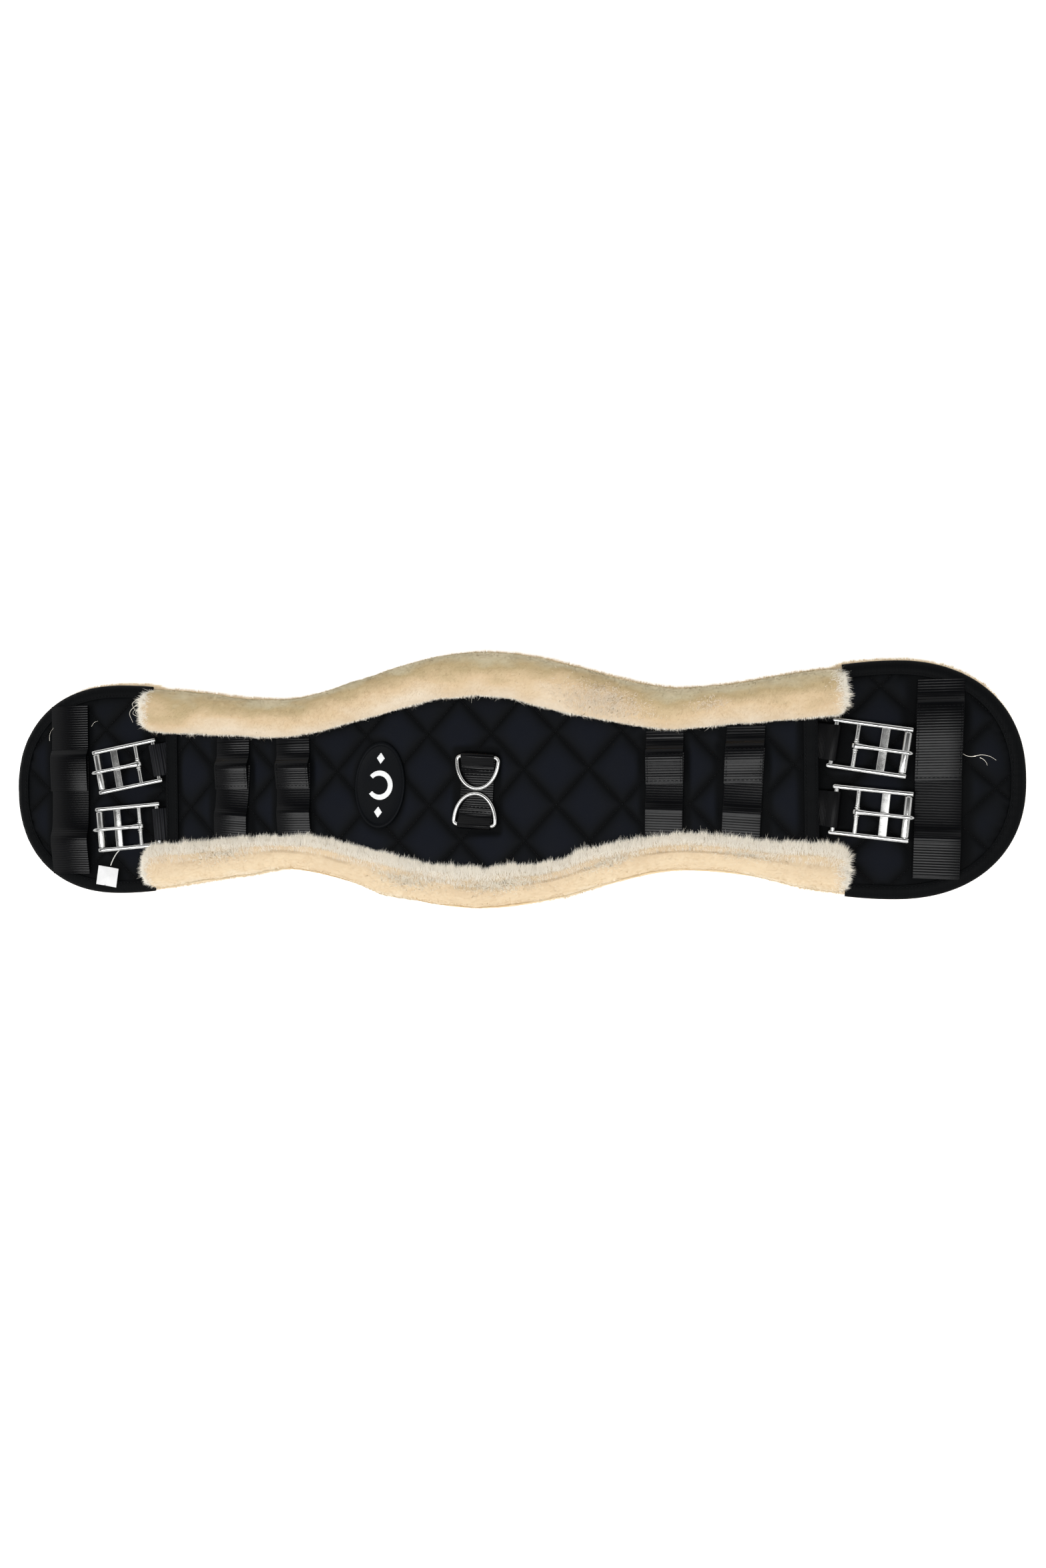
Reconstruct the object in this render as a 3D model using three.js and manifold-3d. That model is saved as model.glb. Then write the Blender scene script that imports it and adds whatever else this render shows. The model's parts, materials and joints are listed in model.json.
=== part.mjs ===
// Anatomic saddle girth in a fleece liner, lying flat with its outer side up.
// Millimetres. X runs along the girth, Y across it and Z up from the fleece that lies on the horse.
// The origin is the middle of the underside.
import * as THREE from "three";
import { mergeVertices } from "three/addons/utils/BufferGeometryUtils.js";
import Module from "manifold-3d";

const wasm = await Module();
wasm.setup();

const GAP = 0.3; // between pieces that touch
const RUNNING_GAP = 0.35; // between a bar and what turns on it

// ---- Driving dimensions ---------------------------------------------------------------------------------------------

const GIRTH_SIZE = 694; // outer end of one buckle to the outer end of the other
const BUCKLE_REACH = 57.3; // base bar to the outer end of the frame
const BASE_BAR_X = GIRTH_SIZE / 2 - BUCKLE_REACH;

const LINER_HALF_LENGTH = 428;
const BELLY_HALF_WIDTH = 106;
const BELLY_REACH = 170; // where the belly has narrowed to the waist
const BELLY_POWER = 1.6;
const WAIST_HALF_WIDTH = 74;
const END_HALF_WIDTH = 90.5;
const END_START = 330; // where the rounded end begins
const END_POWER = 2.25; // 2 would make the end an ellipse

const FLEECE_OVERHANG = 2.2; // the lining shows past the binding
const FLEECE_THICKNESS = 11;
const LINER_FOAM_THICKNESS = 3;
const COVER_THICKNESS = 2.4;
const BINDING_WIDTH = 9.2;
const BINDING_RISE = 0.8; // above the cover
const ROLL_HALF_LENGTH = 297;

const PANEL_HALF_LENGTH = 277;
const PANEL_INSET = 29.3; // the panel's long edges, tucked under the rolls
const BACKING_THICKNESS = 1;
const WEB_THICKNESS = 1.5;
const WEB_WIDTH = 28;
const WEB_Y = 27;
const WEB_HALF_LENGTH = 241;
const GIRTH_FOAM_THICKNESS = 2.2;
const PANEL_THICKNESS = 2;
const HEM_WIDTH = 11;
const HEM_THICKNESS = 0.8;

const STRAP_THICKNESS = 1.2;
const HOOK_TAPE_THICKNESS = 0.8;

// ---- Levels, from the underside up ----------------------------------------------------------------------------------

const FOAM_Z = FLEECE_THICKNESS + GAP;
const COVER_Z = FOAM_Z + LINER_FOAM_THICKNESS + GAP;
const COVER_TOP = COVER_Z + COVER_THICKNESS;
const BINDING_TOP = COVER_TOP + BINDING_RISE;
const BACKING_Z = COVER_TOP + GAP;
const POCKET_Z = BACKING_Z + BACKING_THICKNESS + GAP;
const GIRTH_FOAM_Z = POCKET_Z + WEB_THICKNESS + GAP;
const PANEL_Z = GIRTH_FOAM_Z + GIRTH_FOAM_THICKNESS + GAP;
const PANEL_TOP = PANEL_Z + PANEL_THICKNESS;
const ROLL_TOP = 33;

// ---- Helpers --------------------------------------------------------------------------------------------------------

const point = (x, y) => new THREE.Vector2(x, y);
const girth = new THREE.Group();

const FABRIC = { roughness: 0.9, metalness: 0 };
const materials = {
  fleece: new THREE.MeshStandardMaterial({ color: 0xe6d3ad, ...FABRIC }),
  foam: new THREE.MeshStandardMaterial({ color: 0x8c8c88, ...FABRIC }),
  quilt: new THREE.MeshStandardMaterial({ color: 0x15161c, ...FABRIC }),
  binding: new THREE.MeshStandardMaterial({ color: 0x0b0c10, ...FABRIC }),
  webbing: new THREE.MeshStandardMaterial({ color: 0x0d0e12, roughness: 0.7, metalness: 0 }),
  elastic: new THREE.MeshStandardMaterial({ color: 0x111216, roughness: 0.8, metalness: 0 }),
  hookTape: new THREE.MeshStandardMaterial({ color: 0x18181a, roughness: 0.8, metalness: 0 }),
  steel: new THREE.MeshStandardMaterial({ color: 0xc8cacb, roughness: 0.2, metalness: 1 }),
  patch: new THREE.MeshStandardMaterial({ color: 0x101013, roughness: 0.5, metalness: 0 }),
  motif: new THREE.MeshStandardMaterial({ color: 0xf2f2f0, roughness: 0.5, metalness: 0 }),
  tag: new THREE.MeshStandardMaterial({ color: 0xf4f4f2, roughness: 0.7, metalness: 0 }),
};

function add(name, geometry, material, parent = girth) {
  const mesh = new THREE.Mesh(geometry, material);
  mesh.name = name;
  parent.add(mesh);
  return mesh;
}

// A flat piece with the given outline, from one level to another.
function plate(outline, bottom, thickness) {
  const options = { depth: thickness, bevelEnabled: false };
  return new THREE.ExtrudeGeometry(new THREE.Shape(outline), options).translate(0, 0, bottom);
}

// A profile drawn in (run, z), extruded to a width centred on the middle, with the run along X.
function alongX(profile, width) {
  const geometry = new THREE.ExtrudeGeometry(profile, { depth: width, bevelEnabled: false, curveSegments: 6 });
  return geometry.translate(0, 0, -width / 2).rotateX(Math.PI / 2);
}

// The same profile with the run along Y.
function alongY(profile, width) {
  return alongX(profile, width).rotateZ(Math.PI / 2);
}

// A round bar along Y.
function bar(radius, length, x, sides = 12) {
  return new THREE.CylinderGeometry(radius, radius, length, sides).translate(x, 0, 0);
}

function solidOf(geometry) {
  const bare = geometry.clone();
  bare.deleteAttribute("normal");
  bare.deleteAttribute("uv");
  const merged = mergeVertices(bare, 1e-4);
  const vertProperties = merged.attributes.position.array;
  return new wasm.Manifold(new wasm.Mesh({ numProp: 3, vertProperties, triVerts: merged.index.array }));
}

// One geometry from several that overlap.
function joined(geometries) {
  const solid = geometries.map(solidOf).reduce((whole, next) => whole.add(next));
  const { vertProperties, triVerts } = solid.getMesh();
  const geometry = new THREE.BufferGeometry();
  geometry.setAttribute("position", new THREE.BufferAttribute(vertProperties, 3));
  geometry.setIndex(new THREE.BufferAttribute(triVerts, 1));
  return geometry;
}

// ---- The liner's outline --------------------------------------------------------------------------------------------

// Half the liner's width between its rounded ends: a belly in the middle, a waist, then a flare.
function halfWidth(x) {
  const d = Math.abs(x);
  if (d < BELLY_REACH) {
    const belly = Math.cos((Math.PI / 2) * (d / BELLY_REACH)) ** BELLY_POWER;
    return WAIST_HALF_WIDTH + (BELLY_HALF_WIDTH - WAIST_HALF_WIDTH) * belly;
  }
  const flare = THREE.MathUtils.smoothstep(d, BELLY_REACH, END_START);
  return WAIST_HALF_WIDTH + (END_HALF_WIDTH - WAIST_HALF_WIDTH) * flare;
}

// Half the width of a line that keeps the given distance inside the liner's edge.
function insetHalfWidth(x, inset) {
  const slope = (halfWidth(x + 1) - halfWidth(x - 1)) / 2;
  return halfWidth(x) - inset * Math.hypot(1, slope);
}

// A point of the right end's rounded edge. The turn goes from 1 at the upper corner to -1 at the lower one.
function endPoint(turn) {
  const angle = (turn * Math.PI) / 2;
  const x = END_START + (LINER_HALF_LENGTH - END_START) * Math.cos(angle) ** (2 / END_POWER);
  const y = END_HALF_WIDTH * Math.sign(angle) * Math.abs(Math.sin(angle)) ** (2 / END_POWER);
  return point(x, y);
}

// The upper edge from x = -to to x = to, left to right, at a distance inside the liner's edge.
function upperEdge(to, inset, steps) {
  const x = (i) => to * (-1 + (2 * i) / steps);
  return Array.from({ length: steps + 1 }, (_, i) => point(x(i), insetHalfWidth(x(i), inset)));
}

const mirrorY = (points) => points.map((p) => point(p.x, -p.y)).reverse();
const mirrorX = (points) => points.map((p) => point(-p.x, p.y)).reverse();

// Moves each point of a clockwise closed outline inwards.
function shrunk(outline, inset) {
  const count = outline.length;
  return outline.map((p, i) => {
    const along = outline[(i + 1) % count].clone().sub(outline[(i + count - 1) % count]).normalize();
    return point(p.x + along.y * inset, p.y - along.x * inset);
  });
}

// The whole liner's outline, clockwise from the upper left.
function linerOutline(inset) {
  const turns = 14;
  const rightEnd = Array.from({ length: turns - 1 }, (_, i) => endPoint(1 - (2 * (i + 1)) / turns));
  const upper = upperEdge(END_START, 0, 34);
  return shrunk([...upper, ...rightEnd, ...mirrorY(upper), ...mirrorX(rightEnd)], inset);
}

// The girth panel's outline between the rolls, cut square at both ends.
function panelOutline(halfLength, inset) {
  const upper = upperEdge(halfLength, inset, 28);
  return [...upper, ...mirrorY(upper)];
}

// A section drawn as (distance in from the edge, height), carried along a path in the XY plane.
// The path runs with the liner on its right when side is -1, and on its left when side is 1.
function alongEdge(section, path, side, steps) {
  const shape = new THREE.Shape(section.map(([inset, z]) => point(-z, side * inset)));
  const curve = new THREE.CatmullRomCurve3(path.map((p) => new THREE.Vector3(p.x, p.y, 0)));
  return new THREE.ExtrudeGeometry(shape, { steps, extrudePath: curve, bevelEnabled: false });
}

// ---- Fleece liner ---------------------------------------------------------------------------------------------------

add("fleece_lining", plate(linerOutline(-FLEECE_OVERHANG), 0, FLEECE_THICKNESS), materials.fleece);
add("liner_foam", plate(linerOutline(BINDING_WIDTH + GAP), FOAM_Z, LINER_FOAM_THICKNESS), materials.foam);
add("liner_quilted_cover", plate(linerOutline(BINDING_WIDTH + GAP), COVER_Z, COVER_THICKNESS), materials.quilt);

// The fleece rolled over each long edge: outside the cover's edge, over it, and with a lip over the girth panel.
const ROLL_LIP_Z = PANEL_TOP + 2.3;
const rollSection = [
  [1.5, FOAM_Z],
  [BINDING_WIDTH, FOAM_Z],
  [BINDING_WIDTH, COVER_TOP + GAP],
  [PANEL_INSET - GAP, COVER_TOP + GAP],
  [PANEL_INSET - GAP, ROLL_LIP_Z],
  [PANEL_INSET + 4.3, ROLL_LIP_Z],
  [PANEL_INSET + 5.3, ROLL_LIP_Z + 1.4],
  [PANEL_INSET + 3.5, ROLL_TOP - 2],
  [PANEL_INSET - 3, ROLL_TOP],
  [17, ROLL_TOP],
  [9, ROLL_TOP - 2.5],
  [3, ROLL_TOP - 8],
  [0, ROLL_TOP - 15],
  [0, FOAM_Z + 2.5],
];
const upperRollPath = upperEdge(ROLL_HALF_LENGTH, 0, 28);
const lowerRollPath = mirrorY(upperRollPath).reverse();
add("fleece_roll_upper", alongEdge(rollSection, upperRollPath, -1, 30), materials.fleece);
add("fleece_roll_lower", alongEdge(rollSection, lowerRollPath, 1, 30), materials.fleece);

// The tape bound round each end, up to the ends of the rolls.
const bindingSection = [
  [0, FOAM_Z],
  [BINDING_WIDTH, FOAM_Z],
  [BINDING_WIDTH, BINDING_TOP],
  [0, BINDING_TOP],
];

function bindingPath() {
  const start = ROLL_HALF_LENGTH + 2;
  const corner = [start, (start + END_START) / 2].map((x) => point(x, halfWidth(x)));
  const upperHalf = [...corner, ...[1, 0.9, 0.78, 0.64, 0.5, 0.36, 0.22, 0.1].map(endPoint)];
  return [...upperHalf, ...mirrorY(upperHalf)];
}

add("edge_binding_right", alongEdge(bindingSection, bindingPath(), -1, 36), materials.binding);
add("edge_binding_left", alongEdge(bindingSection, mirrorX(bindingPath()), -1, 36), materials.binding);

// ---- Girth panel ----------------------------------------------------------------------------------------------------

const rectangle = (halfX, halfY, y = 0) => [
  point(-halfX, y - halfY),
  point(halfX, y - halfY),
  point(halfX, y + halfY),
  point(-halfX, y + halfY),
];
const panel = panelOutline(PANEL_HALF_LENGTH, PANEL_INSET);
const panelFilling = panelOutline(WEB_HALF_LENGTH, PANEL_INSET + 2);

add("girth_backing", plate(panel, BACKING_Z, BACKING_THICKNESS), materials.binding);
const webOutline = (y) => rectangle(WEB_HALF_LENGTH, WEB_WIDTH / 2, y);
add("girth_web_upper", plate(webOutline(WEB_Y), POCKET_Z, WEB_THICKNESS), materials.webbing);
add("girth_web_lower", plate(webOutline(-WEB_Y), POCKET_Z, WEB_THICKNESS), materials.webbing);
add("girth_foam", plate(panelFilling, GIRTH_FOAM_Z, GIRTH_FOAM_THICKNESS), materials.foam);
add("girth_quilted_panel", plate(panel, PANEL_Z, PANEL_THICKNESS), materials.quilt);

const hemHalfWidth = insetHalfWidth(PANEL_HALF_LENGTH, PANEL_INSET) - 2;
for (const [side, sign] of [["left", -1], ["right", 1]]) {
  const hem = plate(rectangle(HEM_WIDTH / 2, hemHalfWidth), PANEL_TOP + GAP, HEM_THICKNESS);
  add(`end_hem_${side}`, hem.translate(sign * (PANEL_HALF_LENGTH - HEM_WIDTH / 2), 0, 0), materials.binding);
}

// ---- Webbing folded round a bar -------------------------------------------------------------------------------------

// The profile of a fold: round the bar at the origin, closing on a flat double tail between two levels.
function foldProfile(boreRadius, ply, tailStart, tailEnd, tailBottom, tailTop) {
  const outer = boreRadius + ply;
  const profile = new THREE.Shape();
  profile.moveTo(tailEnd, tailBottom);
  profile.lineTo(tailEnd, tailTop);
  profile.lineTo(tailStart, tailTop);
  profile.absarc(0, 0, outer, THREE.MathUtils.degToRad(110), THREE.MathUtils.degToRad(-110), true);
  profile.lineTo(tailStart, tailBottom);
  profile.holes.push(new THREE.Path().absarc(0, 0, boreRadius, 0, Math.PI * 2, false));
  return profile;
}

// ---- Buckles --------------------------------------------------------------------------------------------------------

// In a buckle's own frame X runs outwards from the base bar, Y along the bars and Z up.
const BUCKLE_WIDTH = 39.6;
const SIDE_BAR = { width: 4, height: 4.2 };
const INNER_WIDTH = BUCKLE_WIDTH - 2 * SIDE_BAR.width;
const BASE_BAR_RADIUS = 2;
const PIVOT = { x: 16.8, radius: 1.9, collarRadius: 2.8 };
const GUARD_BAR = { x: 37.4, width: 6.5, height: 2.2 };
const ROLLER_BAR = { x: 53.8, radius: 1.7 };
const ROLLER_RADIUS = 3.25;
const TONGUE = { width: 3.2, eyeRadius: 3.9, eyeWidth: 4.4 };
const BASE_BAR_Z = 22.6;
const BUCKLE_TILT = 4; // degrees, the outer end up, so that it lies on the pad's quilting

const BUCKLE_STRAP = { width: 28, ply: 1.8, tailStart: -7.6, tailEnd: -42 };

function frameGeometry() {
  const length = BUCKLE_REACH + 2.5;
  const sideBar = (sign) =>
    new THREE.BoxGeometry(length, SIDE_BAR.width, SIDE_BAR.height)
      .translate(length / 2 - 2.5, (sign * (BUCKLE_WIDTH - SIDE_BAR.width)) / 2, 0);
  const across = BUCKLE_WIDTH - SIDE_BAR.width;
  const collarHalf = TONGUE.eyeWidth / 2 + GAP;
  const collar = (sign) => bar(PIVOT.collarRadius, 1.4, PIVOT.x).translate(0, sign * (collarHalf + 0.7), 0);
  return joined([
    sideBar(-1),
    sideBar(1),
    bar(BASE_BAR_RADIUS, across, 0),
    bar(PIVOT.radius, across, PIVOT.x),
    collar(-1),
    collar(1),
    new THREE.BoxGeometry(GUARD_BAR.width, across, GUARD_BAR.height).translate(GUARD_BAR.x, 0, 0),
    bar(ROLLER_BAR.radius, across, ROLLER_BAR.x),
  ]);
}

function rollerGeometry() {
  const half = INNER_WIDTH / 2 - RUNNING_GAP;
  const bore = ROLLER_BAR.radius + RUNNING_GAP;
  const profile = [
    point(bore, -half),
    point(ROLLER_RADIUS, -half),
    point(ROLLER_RADIUS, half),
    point(bore, half),
    point(bore, -half),
  ];
  return new THREE.LatheGeometry(profile, 16).translate(ROLLER_BAR.x, 0, 0);
}

// An eye on the pivot bar and a prong that rests on the roller.
function tongueGeometry() {
  const eye = new THREE.Shape().absarc(PIVOT.x, 0, TONGUE.eyeRadius, 0, Math.PI * 2, false);
  eye.holes.push(new THREE.Path().absarc(PIVOT.x, 0, PIVOT.radius + RUNNING_GAP, 0, Math.PI * 2, false));
  const rest = ROLLER_RADIUS + RUNNING_GAP;
  const prong = new THREE.Shape([
    point(PIVOT.x + 2.9, 0.9),
    point(GUARD_BAR.x - 4.5, 2.2),
    point(ROLLER_BAR.x - 4, rest),
    point(ROLLER_BAR.x + 2, rest),
    point(ROLLER_BAR.x + 5.5, rest - 0.4),
    point(ROLLER_BAR.x + 6, rest + 0.6),
    point(ROLLER_BAR.x + 4, rest + 1.9),
    point(ROLLER_BAR.x - 3, rest + 2.4),
    point(GUARD_BAR.x - 4.5, 4.6),
    point(PIVOT.x + 2, 3.3),
  ]);
  return joined([alongX(eye, TONGUE.eyeWidth), alongX(prong, TONGUE.width)]);
}

// The strap that holds a buckle: a fold round the base bar, and a double tail inside the girth's end pocket.
function buckleStrapGeometry() {
  const drop = (POCKET_Z + PANEL_Z) / 2 - BASE_BAR_Z;
  const { ply, tailStart, tailEnd, width } = BUCKLE_STRAP;
  const profile = foldProfile(BASE_BAR_RADIUS + RUNNING_GAP, ply, tailStart, tailEnd, drop - ply, drop + ply);
  return alongX(profile, width);
}

// How each buckle lies: how far its base bar is inside BASE_BAR_X and across the girth, and how many degrees its
// outer end leans down.
const buckles = [
  { name: "left_upper", sign: -1, inside: 1.7, y: 24.7, lean: 10.4, strap: materials.elastic },
  { name: "left_lower", sign: -1, inside: 3.1, y: -31.2, lean: 4.5, strap: materials.elastic },
  { name: "right_upper", sign: 1, inside: 0.9, y: 29.2, lean: 9.4, strap: materials.webbing },
  { name: "right_lower", sign: 1, inside: 0.9, y: -22.3, lean: 6.6, strap: materials.webbing },
];

for (const { name, sign, inside, y, lean, strap } of buckles) {
  const holder = new THREE.Group();
  holder.position.set(sign * (BASE_BAR_X - inside), y, BASE_BAR_Z);
  holder.rotation.z = (sign < 0 ? Math.PI : 0) - sign * THREE.MathUtils.degToRad(lean);
  girth.add(holder);
  add(`buckle_strap_${name}`, buckleStrapGeometry(), strap, holder);

  const buckle = new THREE.Group();
  buckle.rotation.y = -THREE.MathUtils.degToRad(BUCKLE_TILT);
  holder.add(buckle);
  add(`buckle_frame_${name}`, frameGeometry(), materials.steel, buckle);
  add(`buckle_roller_${name}`, rollerGeometry(), materials.steel, buckle);
  add(`buckle_tongue_${name}`, tongueGeometry(), materials.steel, buckle);
}

// ---- Dee rings ------------------------------------------------------------------------------------------------------

const DEE = { x: 3.5, y: -5, turn: -4, wireRadius: 1.7, halfWidth: 17.5, depth: 25.8, corner: 3 };
const DEE_TAB = { width: 28, ply: 1.4, barY: 27.9 };
const DEE_BORE = DEE.wireRadius + RUNNING_GAP;
const DEE_Z = PANEL_TOP + GAP + DEE_BORE + DEE_TAB.ply;

// A ring lying flat, with its straight bar on the X axis and its bow towards -Y.
function deeGeometry() {
  const { halfWidth: half, corner, wireRadius } = DEE;
  const line = new THREE.Path();
  line.moveTo(corner - half + 2, 0);
  line.lineTo(corner - half, 0);
  line.quadraticCurveTo(-half, 0, -half, -corner);
  line.absellipse(0, -corner, half, DEE.depth - corner, Math.PI, 2 * Math.PI, false, 0);
  line.quadraticCurveTo(half, 0, half - corner, 0);
  line.lineTo(half - corner - 2, 0);
  const spaced = line.getSpacedPoints(60).map((p) => new THREE.Vector3(p.x, p.y, 0));
  const section = new THREE.Shape().absarc(0, 0, wireRadius, 0, Math.PI * 2, false);
  const options = { steps: 36, extrudePath: new THREE.CatmullRomCurve3(spaced), bevelEnabled: false };
  const bow = new THREE.ExtrudeGeometry(new THREE.Shape(section.getPoints(4).slice(0, -1)), options);
  const straight = bar(wireRadius, 2 * (half - corner) + 2, 0, 8).rotateZ(Math.PI / 2);
  return joined([bow, straight]);
}

// Half of the tab: a fold round one ring's bar, sewn down to a single ply that meets the other half.
function deeTabGeometry() {
  const bottom = -DEE_BORE - DEE_TAB.ply;
  const fold = () => foldProfile(DEE_BORE, DEE_TAB.ply, -10, -12, bottom, bottom + 2 * DEE_TAB.ply);
  const upper = alongY(fold(), DEE_TAB.width).translate(0, DEE_TAB.barY, 0);
  const lower = alongY(fold(), DEE_TAB.width).rotateZ(Math.PI).translate(0, -DEE_TAB.barY, 0);
  const middle = new THREE.BoxGeometry(DEE_TAB.width, 2 * DEE_TAB.barY - 20, DEE_TAB.ply);
  return joined([upper, lower, middle.translate(0, 0, bottom + DEE_TAB.ply / 2)]);
}

const dees = new THREE.Group();
dees.position.set(DEE.x, DEE.y, DEE_Z);
dees.rotation.z = THREE.MathUtils.degToRad(DEE.turn);
girth.add(dees);
add("dee_tab", deeTabGeometry(), materials.webbing, dees);
add("dee_ring_upper", deeGeometry(), materials.steel, dees).position.y = DEE_TAB.barY;
const lowerDee = add("dee_ring_lower", deeGeometry(), materials.steel, dees);
lowerDee.position.y = -DEE_TAB.barY;
lowerDee.rotation.z = Math.PI;

// ---- Oval patch -----------------------------------------------------------------------------------------------------

const PATCH = { x: -80.6, y: 0.8, halfWidth: 22, halfHeight: 36.3, thickness: 1.8 };
const PATCH_Z = PANEL_TOP + GAP;

const oval = new THREE.Shape().absellipse(PATCH.x, PATCH.y, PATCH.halfWidth, PATCH.halfHeight, 0, Math.PI * 2);
add("patch", plate(oval.getPoints(20), PATCH_Z, PATCH.thickness), materials.patch);

// A plain horseshoe, its opening towards -X.
function horseshoe() {
  const outerRadius = 12;
  const innerRadius = 7.5;
  const opening = THREE.MathUtils.degToRad(140);
  const shoe = new THREE.Shape();
  shoe.absellipse(0, 0, outerRadius, outerRadius, -opening, opening, false, 0);
  shoe.absellipse(0, 0, innerRadius, innerRadius * 0.95, opening, -opening, true, 0);
  return shoe;
}

const MOTIF_THICKNESS = 0.6;
const motif = new THREE.ExtrudeGeometry(horseshoe(), { depth: MOTIF_THICKNESS, bevelEnabled: false });
add("patch_motif", motif.translate(PATCH.x, PATCH.y, PATCH_Z + PATCH.thickness + GAP), materials.motif);

// ---- Hook and loop straps -------------------------------------------------------------------------------------------

// Each pair closes over the girth: the lower strap lies flat, the upper one climbs on to it, hook tape below.
const UPPER_END_Y = -1;
const STEP_RUN = 4; // how far the upper strap takes to climb
const OVER_LOWER = STRAP_THICKNESS + HOOK_TAPE_THICKNESS + 2 * GAP;
const straps = [
  { name: "left_end", x: -374.5, width: 36, root: 74.5, level: BINDING_TOP, overlap: 30, skew: 0 },
  { name: "left_outer", x: -214, width: 30, root: 38.9, level: PANEL_TOP, overlap: 20, skew: -4 },
  { name: "left_inner", x: -158, width: 30, root: 36.4, level: PANEL_TOP, overlap: 20, skew: 0 },
  { name: "right_inner", x: 158, width: 30, root: 36.4, level: PANEL_TOP, overlap: 24, skew: -2 },
  { name: "right_outer", x: 220, width: 30, root: 39.2, level: PANEL_TOP, overlap: 27, skew: -4 },
  { name: "right_end", x: 366, width: 34.5, root: 76, level: BINDING_TOP, overlap: 57, skew: -2 },
];

function upperStrapProfile(root, overlap) {
  const climb = overlap + GAP;
  return new THREE.Shape([
    point(root, 0),
    point(root, STRAP_THICKNESS),
    point(climb + STEP_RUN, STRAP_THICKNESS),
    point(climb, OVER_LOWER + STRAP_THICKNESS),
    point(UPPER_END_Y, OVER_LOWER + STRAP_THICKNESS),
    point(UPPER_END_Y, OVER_LOWER),
    point(climb + 0.6, OVER_LOWER),
    point(climb + STEP_RUN + 0.6, 0),
  ]);
}

// A flat strip across the girth between two values of Y, resting at the given level above the strap's own.
function strip(width, from, to, level, thickness) {
  return new THREE.BoxGeometry(width, to - from, thickness).translate(0, (from + to) / 2, level + thickness / 2);
}

for (const { name, x, width, root, level, overlap, skew } of straps) {
  const pair = new THREE.Group();
  pair.position.set(x, 0, level + GAP);
  girth.add(pair);
  add(`strap_upper_${name}`, alongY(upperStrapProfile(root, overlap), width), materials.webbing, pair);
  const tape = strip(width - 4, UPPER_END_Y + 2, overlap - 2, STRAP_THICKNESS + GAP, HOOK_TAPE_THICKNESS);
  add(`hook_tape_${name}`, tape, materials.hookTape, pair);
  const lower = strip(width, -root, overlap, 0, STRAP_THICKNESS);
  add(`strap_lower_${name}`, lower, materials.webbing, pair).rotation.z = THREE.MathUtils.degToRad(skew);
}

// ---- Blank swing tag on its thread ----------------------------------------------------------------------------------

const THREAD_RADIUS = 0.45;
const THREAD_Z = BINDING_TOP + GAP + THREAD_RADIUS;
const TAG = { x: -339, y: -77, width: 19, height: 18, thickness: 0.5, turn: -14 };

// The thread starts beside the lower left buckle's strap, clear of its stretch, and passes under the buckle to the tag.
const threadRoute = [
  [-291, -47],
  [-298, -47.8],
  [-306, -48.6],
  [-314, -49.4],
  [-321, -50.9],
  [-327, -53.8],
  [-331, -58],
  [-334, -63],
  [-336, -67.4],
];
const threadCurve = new THREE.CatmullRomCurve3(threadRoute.map(([x, y]) => new THREE.Vector3(x, y, THREAD_Z)));
const threadSection = new THREE.Shape().absarc(0, 0, THREAD_RADIUS, 0, Math.PI * 2, false).getPoints(2);
const threadShape = new THREE.Shape(threadSection.slice(0, -1));
const thread = new THREE.ExtrudeGeometry(threadShape, { steps: 26, extrudePath: threadCurve, bevelEnabled: false });
add("tag_thread", thread, materials.tag);

const tag = add("swing_tag", new THREE.BoxGeometry(TAG.width, TAG.height, TAG.thickness), materials.tag);
tag.position.set(TAG.x, TAG.y, THREAD_Z);
tag.rotation.z = THREE.MathUtils.degToRad(TAG.turn);

export default girth;
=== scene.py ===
"""Saddle girth in a fleece liner, outer side up: the finished look around the CAD frame.

Shapes are worked out in millimetres and turned into metres when a piece is made. X runs along the girth, Y across it
and Z up, as in the CAD. A geometry is a pair of vertices and faces.
"""

import json
import math

import bmesh
import bpy
import numpy as np
from mathutils import Matrix, Vector, noise


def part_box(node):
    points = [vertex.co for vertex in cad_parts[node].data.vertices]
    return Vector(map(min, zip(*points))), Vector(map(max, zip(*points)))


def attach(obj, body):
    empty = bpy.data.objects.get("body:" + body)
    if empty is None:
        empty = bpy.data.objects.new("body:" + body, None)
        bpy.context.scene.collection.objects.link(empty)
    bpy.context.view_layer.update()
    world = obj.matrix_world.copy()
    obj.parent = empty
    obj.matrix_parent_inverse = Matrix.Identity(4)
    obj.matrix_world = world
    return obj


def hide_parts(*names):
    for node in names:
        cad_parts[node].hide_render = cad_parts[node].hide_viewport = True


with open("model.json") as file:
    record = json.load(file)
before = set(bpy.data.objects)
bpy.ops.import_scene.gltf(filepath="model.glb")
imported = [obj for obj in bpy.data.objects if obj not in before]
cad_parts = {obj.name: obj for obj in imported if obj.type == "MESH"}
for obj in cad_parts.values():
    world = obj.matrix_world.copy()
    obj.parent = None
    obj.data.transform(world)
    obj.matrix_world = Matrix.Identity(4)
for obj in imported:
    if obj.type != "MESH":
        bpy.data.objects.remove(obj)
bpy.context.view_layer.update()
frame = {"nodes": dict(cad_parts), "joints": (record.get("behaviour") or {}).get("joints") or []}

MM = 0.001
ROOT = "liner_and_girth"
rng = np.random.default_rng(28)
scene = bpy.context.scene
scene.view_settings.view_transform = "Standard"


def put(name, data):
    """A new object in the scene."""
    made = bpy.data.objects.new(name, data)
    scene.collection.objects.link(made)
    return made


# ---- Camera

AIM = Vector((0.041, 0.0003, 0.02))
CAMERA_DISTANCE = 1.1
CAMERA_LEAN = math.radians(13.8)  # from straight above, towards +X
CAMERA_ROLL = math.radians(-0.7)
CAMERA_LENS = 30.9

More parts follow.
